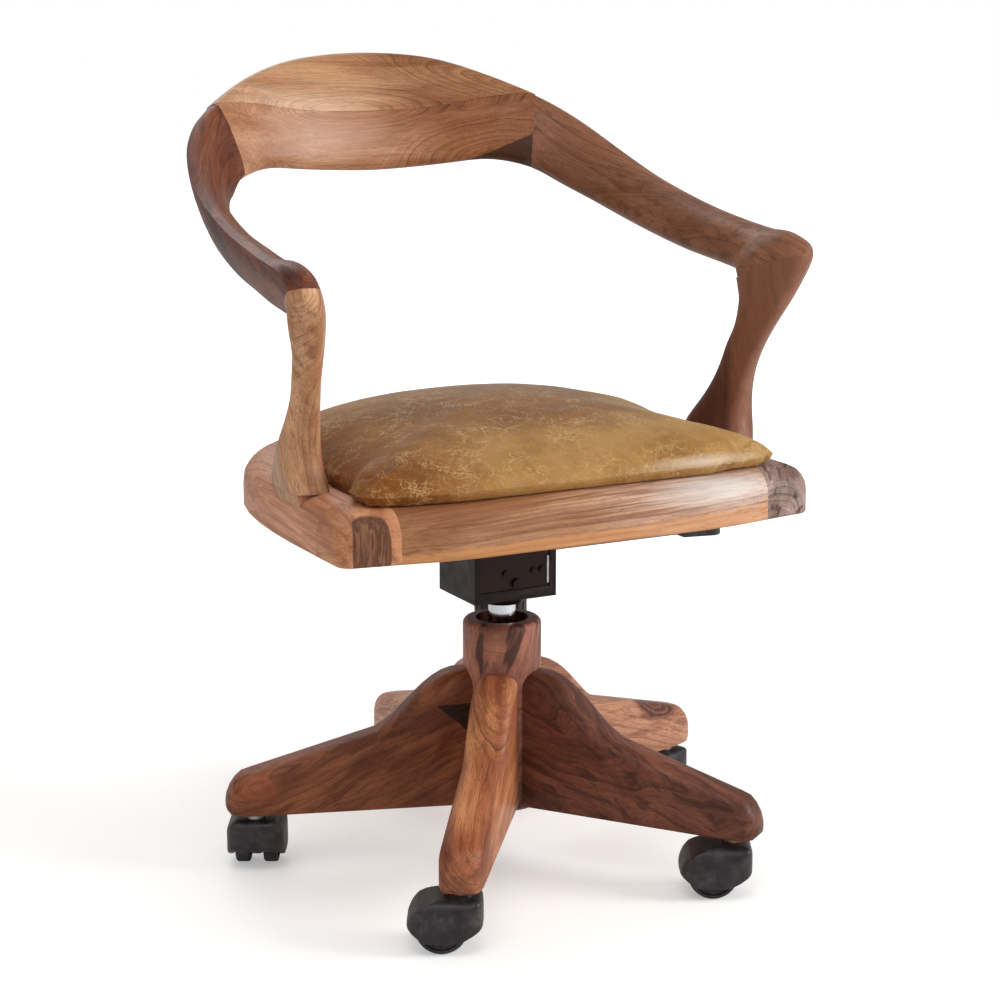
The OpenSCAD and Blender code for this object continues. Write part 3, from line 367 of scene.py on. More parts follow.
GRAIN = {
    "hub": Board(
        (40, 70, 200), (0.30, 0.12, 1), "#915b4b", "#ce886e", "#3f2522", "#432823", 5.0, 0.8,
        stripe=(13.0, 260.0), stripe_share=0.9, end=0.7, spots=(
            # Painted shade: the bore of the hub is darkened where little light reaches into it
            Spot("#80665c", "shade", (0, 0, 250), (28.8, 28.8, 90), soft=0.04, ragged=0.02, strength=1.0),
            Spot("#f0a471", "tint", (-26, -30, 235), (16, 16, 26), soft=0.8, strength=0.35))),
    "leg_front_right": leg_board(
        "front_right", 26, 190, 0.10, -0.36, "#b36c4a", "#eaa06e", "#613624", "#915034", 5.5, 0.85, 20.0,
        stripe_share=0.55, spots=(
            Spot("#b2958d", "shade", on_leg("front_right", 262, 0, 90), (80, 60, 60), soft=0.9, strength=1.0),)),
    "leg_front_left": leg_board(
        "front_left", -70, 150, -0.28, -0.38, "#673b2b", "#8b5440", "#341c16", "#492920", 8.0, 0.75, 34.0,
        bend=(48.0, 90.0), patch=(26.0, 80.0)),
    "leg_side_right": leg_board(
        "side_right", 66, 250, 0.30, -0.55, "#7d462e", "#9e603e", "#49281a", "#663520", 9.0, 0.6, 34.0,
        bend=(60.0, 120.0), patch=(26.0, 90.0), spots=(
            Spot("#1f100d", planes=(((0.67, 0.0, 0.74), 77), ((0.05, 0.0, -1.0), -173)), soft=1.0, wobble=3.0,
                 strength=0.95),
            Spot("#8e482c", "rings", on_leg("side_right", 255, 20, 92), (34, 14, 18), soft=0.4, strength=0.5,
                 between="#a05636", rings=2.5))),
    "leg_side_left": leg_board(
        "side_left", -60, 130, 0.15, -0.2, "#ab7156", "#cd9373", "#683d2d", "#89523b", 6.0, 0.7, 26.0, spots=(
            Spot("#4b281f", "rings", on_leg("side_left", 226, -12, 112), (40, 16, 20), (0, 8, 18), soft=0.22,
                 strength=0.95, between="#8e5944", rings=4.2),)),
    "leg_rear": leg_board(
        "rear", 60, 180, 0.2, -0.3, "#d5957d", "#f6cdac", "#7d5143", "#9e6e57", 6.5, 0.7, 24.0),
    "front_rail": Board(
        (-60, -182, 270), (1, 0.0, 0.03), "#b58261", "#dcb397", "#613b2a", "#906043", 2.4, 0.6, 7.0,
        bend=(55.0, 120.0), patch=(30.0, 170.0), stripe=(3.2, 260.0), stripe_share=0.65, fine=0.4, pores=0.4, spots=(
            # Painted shade: the left end of the rail, turned away from the lamps, is darkened by these two spots
            Spot("#f0dfc6", "shade", planes=(((-1.0, 0, 0), -60),), soft=120.0, wobble=20.0, strength=1.0),
            Spot("#8e5d3e", "tint", planes=(((-1.0, 0, 0), -20),), soft=150.0, wobble=30.0, strength=0.6),
            Spot("#e39c5c", "tint", planes=(((0.02, 0, -1), -386.5),), soft=3.0, wobble=6.0, strength=0.8),
            # Painted highlight: a near-white patch on the right end of the rail, where it faces the lamps
            Spot("#f6f5f1", "tint", (150, -190, 415), (110, 40, 26), soft=0.9, strength=0.95))),
    "corner_right": Board(
        (-226, -100, 372), (0.12, 1, 0.05), "#c4825b", "#e7a678", "#814e37", "#9d6243", 3.6, 0.45, 8.0,
        end=0.12, spots=(
            Spot("#4c2e21", "striped", (-229, -178, 390), (19, 30, 32), square=True, soft=0.08, ragged=0.16,
                 strength=0.92, between="#84583f"),
            Spot("#de9e74", "tint", planes=(((1, 0, 0.04), -192),), soft=1.0, wobble=1.0, strength=0.6))),
    "corner_left": Board(
        (214, -150, 380), (0.3, 1, 0.8), "#84655a", "#b59a8e", "#2c1d1a", "#3a2725", 4.4, 0.8,
        stripe=(7.0, 90.0), stripe_share=0.8, end=0.1, spots=(
            Spot("#e3a573", "tint", planes=(((1, 0.25, 0), 204),), soft=4.0, wobble=3.0, strength=0.6),)),
    "side_rail_right": Board(
        (-150, 0, 420), (0.04, 1, 0.03), "#c38462", "#e1a07c", "#92593d", "#a86b4c", 3.4, 0.4, 8.0, pores=0.4),
    "side_rail_left": Board(
        (180, 20, 330), (-0.05, 1, 0.05), "#9a6a50", "#ba8c6f", "#68412f", "#7f5240", 4.2, 0.55, 10.0),
    "rear_rail": Board(
        (20, 130, 340), (1, 0.04, -0.03), "#946149", "#b58266", "#5c3828", "#754834", 4.8, 0.65, 18.0,
        bend=(55.0, 120.0)),
    "post_right": Board(
        (-190, -70, 500), (-0.10, 0.24, 1), "#b7815b", "#dba87e", "#764e37", "#a06d4d", 6.5, 0.62, 12.0, spots=(
            Spot("#96634a", "tint", (-238, -62, 440), (14, 20, 9), square=True, soft=0.1, ragged=0.1,
                 strength=0.5),)),
    "post_left": Board(
        (205, 20, 520), (0.06, 0.18, 1), "#5c3528", "#784b38", "#371e16", "#47291d", 3.6, 0.55, 8.0, spots=(
            # Painted light: the front face of the post is drawn lighter, as if lit across a crisp arris that the
            # rounded shape doesn't have
            Spot("#bb7c59", "tint", planes=(((0.5, -1, 0.0), 160),), soft=14.0, wobble=8.0, strength=0.55),)),
    "arm_left": Board(
        (150, 60, 610), (0.55, -1.0, -0.42), "#825134", "#9a6547", "#553220", "#6e3f29", 3.0, 0.62, 7.0,
        bend=(55.0, 260.0), stripe=(7.0, 260.0)),
    "arm_right": Board(
        (-250, 120, 590), (-0.35, -1.0, -0.46), "#6e3723", "#884c31", "#32170e", "#4c2417", 5.0, 0.65, 18.0, spots=(
            Spot("#26110d", "plain", (-268, 62, 640), (12, 90, 30), (24, 0, 8), soft=0.5, strength=0.75),
            Spot("#2a140e", "rings", (-256, 6, 594), (15, 46, 12), (22, 0, -6), soft=0.35, strength=0.85,
                 between="#422317", rings=3.0),
            Spot("#8b4426", "tint", (-225, -40, 606), (26, 24, 20), soft=0.5, strength=0.55))),
    "crest_lower": Board(
        (-46, 324, 752), (1, 0.0, 0.03), "#b17752", "#cd9975", "#663923", "#9b6441", 3.6, 0.95, 5.0,
        bend=(40.0, 90.0), stripe_share=0.4, fine=0.34, pores=0.4, end=0.3, taper=0.15,
        fans=(((150, 250, 700), (150, 2000, 55), -3, 53.5, 24.5),), grow=(-60, 70, 0.22), spots=(
            Spot("#462a20", planes=(((0.39, 0.0, -0.92), -601.0), ((1.0, 0.0, 0.0), 85)), soft=1.2, wobble=3.0),
            # Painted shade over the right end of the board, and a painted highlight over its middle
            Spot("#ccb49c", "shade", planes=(((1.0, 0.0, 0.1), 66),), soft=110.0, wobble=16.0, strength=1.0),
            Spot("#f2d2bd", "tint", (-60, 250, 740), (125, 90, 52), soft=0.95, strength=1.0))),
    "crest_upper": Board(
        (-46, 326, 752), (1, 0.0, -0.03), "#bc865c", "#d5a47a", "#6e4029", "#a36e47", 3.8, 0.98, 5.0,
        bend=(40.0, 90.0), stripe_share=0.4, fine=0.34, pores=0.4, end=0.3, taper=0.15,
        fans=(((160, 250, 782), (196, 2000, 34), 14, 61.6, 22.0),), grow=(-70, 60, 0.22), spots=(
            # Painted shade over the right end of the board, and a painted highlight over its middle
            Spot("#cebdaf", "shade", planes=(((1.0, 0.0, 0.5), 330),), soft=90.0, wobble=16.0, strength=1.0),
            Spot("#ffe6d2", "tint", (-84, 250, 764), (145, 100, 56), soft=0.95, strength=1.0))),
}


# The other finishes

def beech(name):
    """Turned beech dowels and sawn beech bearers: pale pinkish wood flecked with short dark rays."""
    material, add = new_material(name)
    at = mapped(add, (30, 40, 300), (1, 0.1, 0))
    tone = add("TexNoise", stretched(add, at, 9.0, 120.0), Detail=3.0)
    # Rays 1 mm by 4 mm
    fleck = add("TexNoise", stretched(add, at, 0.9, 4.0), Detail=1.0)
    colour = add("Mix", add("MapRange", fleck, 0.6, 0.7, 0, 0.6), add("Mix", tone, "#c79a72", "#ddb78f"), "#9a6c49")
    add("OutputMaterial", add("BsdfPrincipled", Base_Color=colour, Roughness=0.6,
                              Normal=add("Bump", Height=fleck, Strength=0.2, Distance=0.0002)))
    return material


def plywood(name):
    """Birch plywood under the cushion: pale faces, and edges striped by 1.5 mm veneers."""
    material, add = new_material(name)
    at = mapped(add)
    face = add("TexNoise", stretched(add, at, 60.0, 8.0), Detail=4.0)
    plies = add("Math FRACT", add("Math DIVIDE", add("SeparateXYZ", at).outputs["Z"], 3.0))
    edge = add("Math ABSOLUTE", add("SeparateXYZ", add("TexCoord").outputs["Normal"]).outputs["Z"])
    stripe = add("Math MULTIPLY", add("MapRange", plies, 0.45, 0.55), add("MapRange", edge, 0.5, 0.2))
    colour = add("Mix", stripe, add("Mix", face, "#c9a577", "#e0c69b"), "#9b744c")
    add("OutputMaterial", add("BsdfPrincipled", Base_Color=colour, Roughness=0.65,
                              Normal=add("Bump", Height=face, Strength=0.15, Distance=0.0003)))
    return material


def chrome_plate(name):
    """Hard chrome on a ground steel tube: a cool mirror with faint rings from grinding."""
    material, add = new_material(name)
    at = mapped(add)
    rings = add("TexNoise", stretched(add, at, 30.0, 0.7))
    film = add("TexNoise", stretched(add, at, 14.0, 22.0), Detail=3.0)
    add("OutputMaterial", add(
        "BsdfPrincipled", Base_Color=add("Mix", film, looks().chrome_tint[:], "#eef0f3"), Metallic=1.0,
        Roughness=add("MapRange", film, 0.3, 0.7, 0.07, 0.16),
        Normal=add("Bump", Height=rings, Strength=0.08, Distance=0.0001)))
    return material


def zinc_steel(name, warm="#c3bdb3", cool="#9a9c9f"):
    """Bright zinc plate on turned steel: grey with a faint warm bloom and fine turning lines."""
    material, add = new_material(name)
    at = mapped(add)
    bloom = add("TexNoise", stretched(add, at, 7.0), Detail=4.0, Roughness=0.6)
    turning = add("TexNoise", stretched(add, at, 12.0, 0.5))
    add("OutputMaterial", add(
        "BsdfPrincipled", Base_Color=add("Mix", add("MapRange", bloom, 0.35, 0.65), cool, warm), Metallic=1.0,
        Roughness=add("MapRange", bloom, 0.3, 0.7, 0.28, 0.45),
        Normal=add("Bump", Height=turning, Strength=0.15, Distance=0.0001)))
    return material


def black_enamel(name, recess=None):
    """Black stove enamel on pressed steel: brown-black satin with a fine orange-peel and rubbed edges."""
    material, add = new_material(name)
    at = mapped(add)
    peel = add("TexNoise", stretched(add, at, 1.6))
    dust = add("TexNoise", stretched(add, at, 16.0, 9.0), Detail=5.0, Roughness=0.65)
    colour = add("Mix", add("MapRange", dust, 0.42, 0.68), looks().enamel_black[:], "#2a1813")
    if recess is not None:
        # The recess at the front has less enamel, and its primer shows through
        depth = add("SeparateXYZ", at).outputs["Y"]
        inside = add("Math MULTIPLY", add("MapRange", depth, recess - 0.6, recess - 0.2),
                     add("MapRange", depth, recess + 0.6, recess + 0.2))
        bare = add("Math MULTIPLY", inside, add("MapRange", dust, 0.3, 0.6, 0.5, 1.0))
        colour = add("Mix", bare, colour, "#2c1611")
    edges = add("NewGeometry").outputs["Pointiness"]
    colour = add("Mix", add("MapRange", edges, 0.56, 0.64, 0, 0.5), colour, "#5a5254")
    add("OutputMaterial", add(
        "BsdfPrincipled", Base_Color=colour, Roughness=add("MapRange", dust, 0.3, 0.7, 0.30, 0.5),
        Specular_IOR_Level=0.2, Normal=add("Bump", Height=peel, Strength=0.25, Distance=0.0002)))
    return material


def moulded_nylon(name, scuffs=0.25, scratch="#7d6a66", marks=()):
    """Moulded black nylon, satin and lightly scuffed, with pale rubbed scratches where it meets the floor and feet."""
    material, add = new_material(name)
    at = mapped(add)
    grit = add("TexNoise", stretched(add, at, 0.8))
    cloud = add("TexNoise", stretched(add, at, 15.0), Detail=4.0, Roughness=0.6)
    colour = add("Mix", add("MapRange", cloud, 0.35, 0.7), looks().nylon_black[:], "#3f393b")
    hair = add("TexNoise", stretched(add, at, 3.6, 1.4), Detail=5.0, Roughness=0.75, Distortion=1.2)
    thin = add("MapRange", add("Math ABSOLUTE", add("Math SUBTRACT", hair, 0.5)), 0.018, 0.004)
    rub = add("Math MULTIPLY", add("Math MULTIPLY", thin, add("MapRange", cloud, 0.52, 0.66)), scuffs)
    for mark in marks:
        broken = add("Math MULTIPLY", spot_mask(add, mark)[0], add("MapRange", hair, 0.5, 0.62))
        rub = add("Math MAXIMUM", rub, add("Math MULTIPLY", broken, mark.strength))
    height = add("Math ADD", add("Math MULTIPLY", grit, 0.3), add("Math MULTIPLY", rub, -0.8))
    rough = add("Math ADD", add("MapRange", cloud, 0.3, 0.7, 0.36, 0.5), add("Math MULTIPLY", rub, 0.3))
    add("OutputMaterial", add(
        "BsdfPrincipled", Base_Color=add("Mix", rub, colour, scratch), Roughness=rough, Specular_IOR_Level=0.4,
        Normal=add("Bump", Height=height, Strength=0.22, Distance=0.0002)))
    return material


def acetal(name):
    """Turned acetal of the guide bush: milky and slightly waxy."""
    material, add = new_material(name)
    cloud = add("TexNoise", stretched(add, mapped(add), 6.0, 1.0), Detail=3.0)
    add("OutputMaterial", add(
        "BsdfPrincipled", Base_Color=add("Mix", cloud, "#d9d6cc", "#ece9e1"), Roughness=0.4,
        Normal=add("Bump", Height=cloud, Strength=0.1, Distance=0.0002)))
    return material


def hide_scratches(add, at, drifted):
    """Pale scratches: branched nets, and single hairs between them. Sizes are in millimetres."""
    shaken = add("TexNoise", stretched(add, at, 7.0), Detail=4.0, Roughness=0.7)
    shaken = add("VectorMath ADD", drifted, add("VectorMath SCALE", shaken.outputs["Color"], 9.0))
    scratches = 0.0
    for size, width, amount, gone in ((25.0, 0.022, 0.78, 0.44), (14.0, 0.03, 0.6, 0.47), (38.0, 0.014, 0.75, 0.40)):
        net = add("TexVoronoi", stretched(add, shaken, size, size * 0.8))
        worn = add("TexNoise", stretched(add, at, size * 0.8), Detail=3.0)
        thin = add("Math MULTIPLY", add("MapRange", net, width, 0.0, 0.0, amount),
                   add("MapRange", worn, gone, gone + 0.14))
        scratches = add("Math MAXIMUM", scratches, thin)
    for size, width, amount in ((40.0, 0.010, 0.6), (11.0, 0.018, 0.3)):
        hair = add("TexNoise", stretched(add, drifted, size, size * 0.7), Detail=5.0, Roughness=0.6, Distortion=0.2)
        thin = add("MapRange", add("Math ABSOLUTE", add("Math SUBTRACT", hair, 0.5)), width, width * 0.1)
        scratches = add("Math MAXIMUM", scratches, add("Math MULTIPLY", thin, amount))
    return scratches


def waxed_leather(name):
    """Pull-up cowhide, waxed and aged: olive tan that pales in hair-fine scratches and darkens where it is handled,
    with painted shade on its left side and crown and a painted highlight on its front edge.
    """
    skin = looks()
    material, add = new_material(name)
    at = mapped(add)
    drift = add("TexNoise", stretched(add, at, 34.0), Detail=3.0)
    drifted = add("VectorMath ADD", at, add("VectorMath SCALE", drift.outputs["Color"], 26.0))
    # Broad handling marks, 60 to 90 mm across, and a mottle of about 14 mm
    broad = add("TexNoise", stretched(add, drifted, 74.0, 60.0), Detail=4.0, Roughness=0.6)
    mottle = add("TexNoise", stretched(add, drifted, 13.0), Detail=5.0, Roughness=0.65)
    colour = add("Mix", add("MapRange", broad, 0.28, 0.62), skin.leather_dark[:], skin.leather_mid[:])
    colour = add("Mix", add("MapRange", mottle, 0.42, 0.7, 0, 0.4), colour, skin.leather_light[:])
    # Painted shade: the left side, turned away from the lamps, is multiplied darker
    place = add("SeparateXYZ", at)
    colour = add("Mix", add("MapRange", place, -50.0, -200.0), colour, "#c2964d", blend_type="MULTIPLY")
    # Painted shade darkens the upward-facing crown, and on the rolled front edge a pale patch is painted, partly a
    # rubbed edge and mostly a painted highlight
    crown = add("MapRange", place.outputs["Z"], 464.0, 484.0)
    colour = add("Mix", crown, colour, "#bd9f6e", blend_type="MULTIPLY")
    rubbed, _ = spot_mask(add, Spot("", at=(140, -184, 440), size=(105, 34, 9), soft=0.9))
    colour = add("Mix", add("Math MULTIPLY", rubbed, 0.6), colour, "#f4e2cc")
    # Hair-fine scratches branch all over the hide, a little denser where it has been bent
    bent = add("TexNoise", stretched(add, drifted, 48.0), Detail=3.0, Roughness=0.6)
    where = add("MapRange", add("MapRange", bent, 0.36, 0.62), 0.0, 1.0, 0.25, 0.85)
    scratches = hide_scratches(add, at, drifted)
    colour = add("Mix", add("Math MULTIPLY", scratches, where), colour, skin.leather_scratch[:])
    # Grain of the hide: cells of about 1 mm, drawn 1.3 mm
    cells = add("TexVoronoi", stretched(add, drifted, 1.3))
    colour = add("Mix", add("MapRange", cells, 0.12, 0.0, 0, 0.22), colour, skin.leather_dark[:])
    height = add("Math ADD", add("Math MULTIPLY", add("MapRange", cells, 0.0, 0.25), 0.35),
                 add("Math MULTIPLY", mottle, 1.2))
    height = add("Math SUBTRACT", height, add("Math MULTIPLY", scratches, 0.4))
    rough = add("MapRange", mottle, 0.3, 0.7, skin.leather_roughness - 0.06, skin.leather_roughness + 0.08)
    # Wax is rubbed off on the left, so it is duller there
    rough = add("Math ADD", rough, add("MapRange", place, -190.0, 60.0, 0.26, 0.0))
    add("OutputMaterial", add(
        "BsdfPrincipled", Base_Color=colour, Roughness=rough, IOR=1.5, Specular_IOR_Level=0.28,
        Sheen_Weight=0.24, Sheen_Roughness=0.3, Sheen_Tint="#e0cdb0",
        Normal=add("Bump", Height=height, Strength=0.28, Distance=0.0005)))
    return material


# Mesh helpers

def to_mesh(bm, mesh):
    """Writes a bmesh to a mesh, or to a new one of that name, and frees it."""
    if isinstance(mesh, str):
        mesh = bpy.data.meshes.new(mesh)
    bm.to_mesh(mesh)
    bm.free()
    return mesh


def from_mesh(mesh):
    bm = bmesh.new()
    bm.from_mesh(mesh)
    return bm


def linked(mesh, name):
    """A new object in the scene."""
    made = bpy.data.objects.new(name, mesh)
    bpy.context.scene.collection.objects.link(made)
    return made


def evaluated(thing):
    """A new mesh with the object's modifiers applied."""
    graph = bpy.context.evaluated_depsgraph_get()
    return bpy.data.meshes.new_from_object(thing.evaluated_get(graph))


def cad_object(cad_node):
    if cad_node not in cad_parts:
        raise RuntimeError(f"the model has no node named {cad_node}")
    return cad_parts[cad_node]


def add_piece(mesh, name, body, material, replaced=()):
    """Puts a finished mesh in the scene as a piece that rides on a body."""
    piece = linked(mesh, name)
    mesh.materials.clear()
    mesh.materials.append(material)
    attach(piece, body)
    if replaced:
        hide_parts(*replaced)
    return piece


def merged_copy(cad_node, name, sharp=180.0, rejoin=0.6):
    """A node's mesh as one closed surface: doubles merged, flat faces rejoined and curved ones shaded smooth."""
    mesh = cad_object(cad_node).data.copy()
    mesh.name = name
    normals = mesh.attributes.get("custom_normal")
    if normals:
        mesh.attributes.remove(normals)
    bm = from_mesh(mesh)
    bmesh.ops.remove_doubles(bm, verts=bm.verts, dist=2e-6)
    bmesh.ops.dissolve_degenerate(bm, edges=bm.edges, dist=1e-6)
    if rejoin:
        bmesh.ops.dissolve_limit(bm, angle_limit=math.radians(rejoin), verts=bm.verts, edges=bm.edges)
    bmesh.ops.recalc_face_normals(bm, faces=bm.faces)
    for face in bm.faces:
        face.smooth = True
    for edge in bm.edges:
        edge.smooth = edge.calc_face_angle(0.0) < math.radians(sharp)
    to_mesh(bm, mesh)
    mesh.update()
    return mesh


def soften(piece, width, angle):
    """Breaks the sharp edges of a piece and keeps its flat faces flat."""
    bevel = piece.modifiers.new("Eased edges", "BEVEL")
    bevel.width, bevel.segments = width, 2
    bevel.limit_method, bevel.angle_limit = "ANGLE", math.radians(angle)
    bevel.harden_normals = False
    piece.modifiers.new("Flat faces", "WEIGHTED_NORMAL").keep_sharp = False


def finish_node(cad_node, material):
    """Gives a node that keeps its own shape its real finish."""
    kept = cad_object(cad_node)
    kept.data.materials.clear()
    kept.data.materials.append(material)
    for face in kept.data.polygons:
        face.material_index = 0


def join_facets(bm, face_angle):
    """Joins pairs of triangles to quads where they lie nearly flat."""
    bmesh.ops.join_triangles(bm, faces=bm.faces, angle_face_threshold=math.radians(face_angle),
                             angle_shape_threshold=math.radians(60))


def timber(cad_node, body, sharp, rounded=False):
    """A walnut piece of the node's own shape, with its own board of walnut. A rounded one is subdivided once."""
    name = cad_node + "_board"
    mesh = merged_copy(cad_node, name, sharp, 0.0 if rounded else 0.6)
    wood = walnut("oiled walnut " + cad_node.replace("_", " "), GRAIN[cad_node])
    board = add_piece(mesh, name, body, wood, (cad_node,))
    if not rounded:
        return
    bm = from_mesh(mesh)
    join_facets(bm, 24)
    crease = bm.edges.layers.float.get("crease_edge") or bm.edges.layers.float.new("crease_edge")
    for edge in bm.edges:
        keen = edge.calc_face_angle(0.0) > math.radians(sharp)
        edge.smooth = not keen
        edge[crease] = 1.0 if keen else 0.0
    to_mesh(bm, mesh)
    curve = board.modifiers.new("Shaped by rasp", "SUBSURF")
    curve.levels = curve.render_levels = 1


def hex_head(across, height, at, name):
    """A chamfered hexagon head that stands forward of a point, sized in metres."""
    bm = bmesh.new()
    bmesh.ops.create_circle(bm, segments=6, radius=across / 2 / math.cos(math.radians(30)), cap_ends=True)
    top = bmesh.ops.extrude_face_region(bm, geom=bm.faces[:])
    raised = [v for v in top["geom"] if isinstance(v, bmesh.types.BMVert)]
    bmesh.ops.translate(bm, verts=raised, vec=(0, 0, height))
    bmesh.ops.bevel(bm, geom=bm.edges[:], offset=height * 0.12, segments=2, affect="EDGES", profile=0.5, material=-1)
    bmesh.ops.rotate(bm, verts=bm.verts, cent=(0, 0, 0), matrix=Matrix.Rotation(math.radians(90), 3, "X"))
    bmesh.ops.recalc_face_normals(bm, faces=bm.faces)
    bmesh.ops.translate(bm, verts=bm.verts, vec=Vector(at))
    return to_mesh(bm, name)


def bar(low, high, name):
    """A plain bar between two opposite corners, in metres."""
    bm = bmesh.new()
    bmesh.ops.create_cube(bm, size=1.0)
    bmesh.ops.scale(bm, verts=bm.verts, vec=Vector(high) - Vector(low))
    bmesh.ops.translate(bm, verts=bm.verts, vec=(Vector(low) + Vector(high)) / 2)
    return to_mesh(bm, name)


# Sizes and colours that a user may change

class ArmchairShape(bpy.types.PropertyGroup):
    """Sizes of the details that the scene adds to the model."""

    hood_round: bpy.props.FloatProperty(
        name="Hood rounding", description="Size of the voxels that round off the moulded caster hoods",
        default=0.0012, min=0.0008, max=0.003, unit="LENGTH")
    sheet_edge: bpy.props.FloatProperty(
        name="Sheet edge", description="Width of the eased edges of the pressed steel parts",
        default=0.0007, min=0.0002, max=0.002, unit="LENGTH")
    cushion_voxel: bpy.props.FloatProperty(
        name="Cushion voxel", description="Mesh spacing of the cushion while its leather is inflated",
        default=0.0055, min=0.004, max=0.008, unit="LENGTH")
    cushion_start: bpy.props.FloatProperty(
        name="Cushion shrink", description="How far the leather starts inside its finished surface",
        default=0.0025, min=0.0, max=0.01, unit="LENGTH")
    cushion_sag: bpy.props.FloatProperty(
        name="Cushion sag", description="How far the slack leather may lie under its full surface",
        default=0.0016, min=0.0002, max=0.006, unit="LENGTH")
    pleat_depth: bpy.props.FloatProperty(
        name="Pleat depth", description="Depth of the folds where the leather is pulled down at the front corners",
        default=0.0028, min=0.0, max=0.006, unit="LENGTH")


def colour_setting(name, description, code):
    """A colour that the user may change."""
    return bpy.props.FloatVectorProperty(
        name=name, description=description, default=linear(code), size=4, min=0, max=1, subtype="COLOR")


def share_setting(name, description, default, low=0.0, high=1.0):
    """A factor that the user may change."""
    return bpy.props.FloatProperty(
        name=name, description=description, default=default, min=low, max=high, subtype="FACTOR")


class ArmchairLooks(bpy.types.PropertyGroup):
    """Finishes of the timber, leather, plastic and metal."""

    ring_spacing: share_setting("Ring spacing", "Spacing of the growth rings, against each board's own", 1.0, 0.3, 3.0)
    pore_length: bpy.props.FloatProperty(
        name="Pore length", description="Length of the open pores along the grain",
        default=0.009, min=0.002, max=0.02, unit="LENGTH")
    wood_roughness: share_setting("Oil sheen", "Roughness of the oiled walnut", 0.42, 0.1, 0.9)
    wood_shine: share_setting("Oil film", "Strength of the reflection in the oiled surface", 0.28)
    leather_mid: colour_setting("Leather", "Main tan of the hide", "#b2864c")
    leather_dark: colour_setting("Handled leather", "Darker brown of the handled patches", "#946730")
    leather_light: colour_setting("Bent leather", "Lighter tan of the mottle", "#c4914a")
    leather_scratch: colour_setting("Scratches", "Pale wax of the scratches", "#e6c48c")
    leather_roughness: share_setting("Leather sheen", "Roughness of the waxed hide", 0.42, 0.1, 0.9)
    nylon_black: colour_setting("Caster plastic", "Black of the moulded hoods and wheels", "#211e20")
    enamel_black: colour_setting("Enamel", "Brown-black of the tilt mechanism", "#160a08")
    chrome_tint: colour_setting("Chrome", "Cool tint of the plated cylinder", "#c6cad2")


# Operators, one for each group of pieces

class ARMCHAIR_OT_base_woodwork(bpy.types.Operator):
    """Makes the walnut hub and the five walnut legs"""

    bl_idname = "armchair.base_woodwork"
    bl_label = "Hub and legs"

    def execute(self, context):
        timber("hub", "base", 40.0)
        for which in LEG_ANGLES:
            timber("leg_" + which, "base", 42.0)
        return {"FINISHED"}


class ARMCHAIR_OT_base_fittings(bpy.types.Operator):
    """Finishes the dowels, the caster sockets and the parts inside the hub"""

    bl_idname = "armchair.base_fittings"
    bl_label = "Base fittings"

    def execute(self, context):
        zinc = zinc_steel("zinc plated steel")
        finish_node("leg_dowels", beech("turned beech"))
        finish_node("caster_sockets", zinc)
        finish_node("stand_tube", black_enamel("enamelled steel tube"))
        finish_node("guide_bush", acetal("turned acetal"))
        finish_node("thrust_bearing", zinc)
        return {"FINISHED"}


class ARMCHAIR_OT_casters(bpy.types.Operator):
    """Makes the five twin-wheel casters with their moulded hoods"""

    bl_idname = "armchair.casters"
    bl_label = "Casters"

    def execute(self, context):
        scuffed = (
            Spot("", at=(-163, -253, 42), size=(16, 9, 5), turn=(0, -6, 30), ragged=0.8, soft=0.7, strength=0.9),
            Spot("", at=(-146, -240, 30), size=(10, 14, 12), ragged=1.0, soft=0.8, strength=0.7),
        )
        plain = moulded_nylon("moulded black nylon")
        rubbed = moulded_nylon("scuffed black nylon", 0.8, "#8b716b", scuffed)
        tread = moulded_nylon("worn wheel nylon", 0.5, "#6b6160")
        collar = zinc_steel("zinc plated stem")
        brassy = zinc_steel("yellow passivated stem", "#c79a6c", "#8f7a63")
        for which in LEG_ANGLES:
            cad_node = "hood_" + which
            name = cad_node + "_moulding"
            nylon = rubbed if which == "front_right" else plain
            hood = add_piece(merged_copy(cad_node, name), name, "caster_" + which, nylon, (cad_node,))
            voxels = hood.modifiers.new("Moulded skin", "REMESH")
            voxels.mode, voxels.voxel_size, voxels.use_smooth_shade = "VOXEL", shape().hood_round, True
            ease = hood.modifiers.new("Moulded edges", "SMOOTH")
            ease.factor, ease.iterations = 0.5, 24
            finish_node("stem_" + which, brassy if which == "front_left" else collar)
            for side in "ab":
                wheel = f"wheel_{which}_{side}"
                name = wheel + "_moulding"
                tyre = add_piece(merged_copy(wheel, name, 30.0), name, wheel, tread, (wheel,))
                soften(tyre, 0.0006, 30.0)
        return {"FINISHED"}


class ARMCHAIR_OT_gas_spring(bpy.types.Operator):
    """Finishes the chromed cylinder, its rod, clip and release pin"""

    bl_idname = "armchair.gas_spring"
    bl_label = "Gas spring"

    def execute(self, context):
        chrome = chrome_plate("hard chrome")
        zinc = zinc_steel("zinc plated pin")
        finish_node("gas_cylinder", chrome)
        finish_node("piston_rod", chrome)
        finish_node("retaining_clip", zinc)
        finish_node("release_pin", zinc)
        return {"FINISHED"}


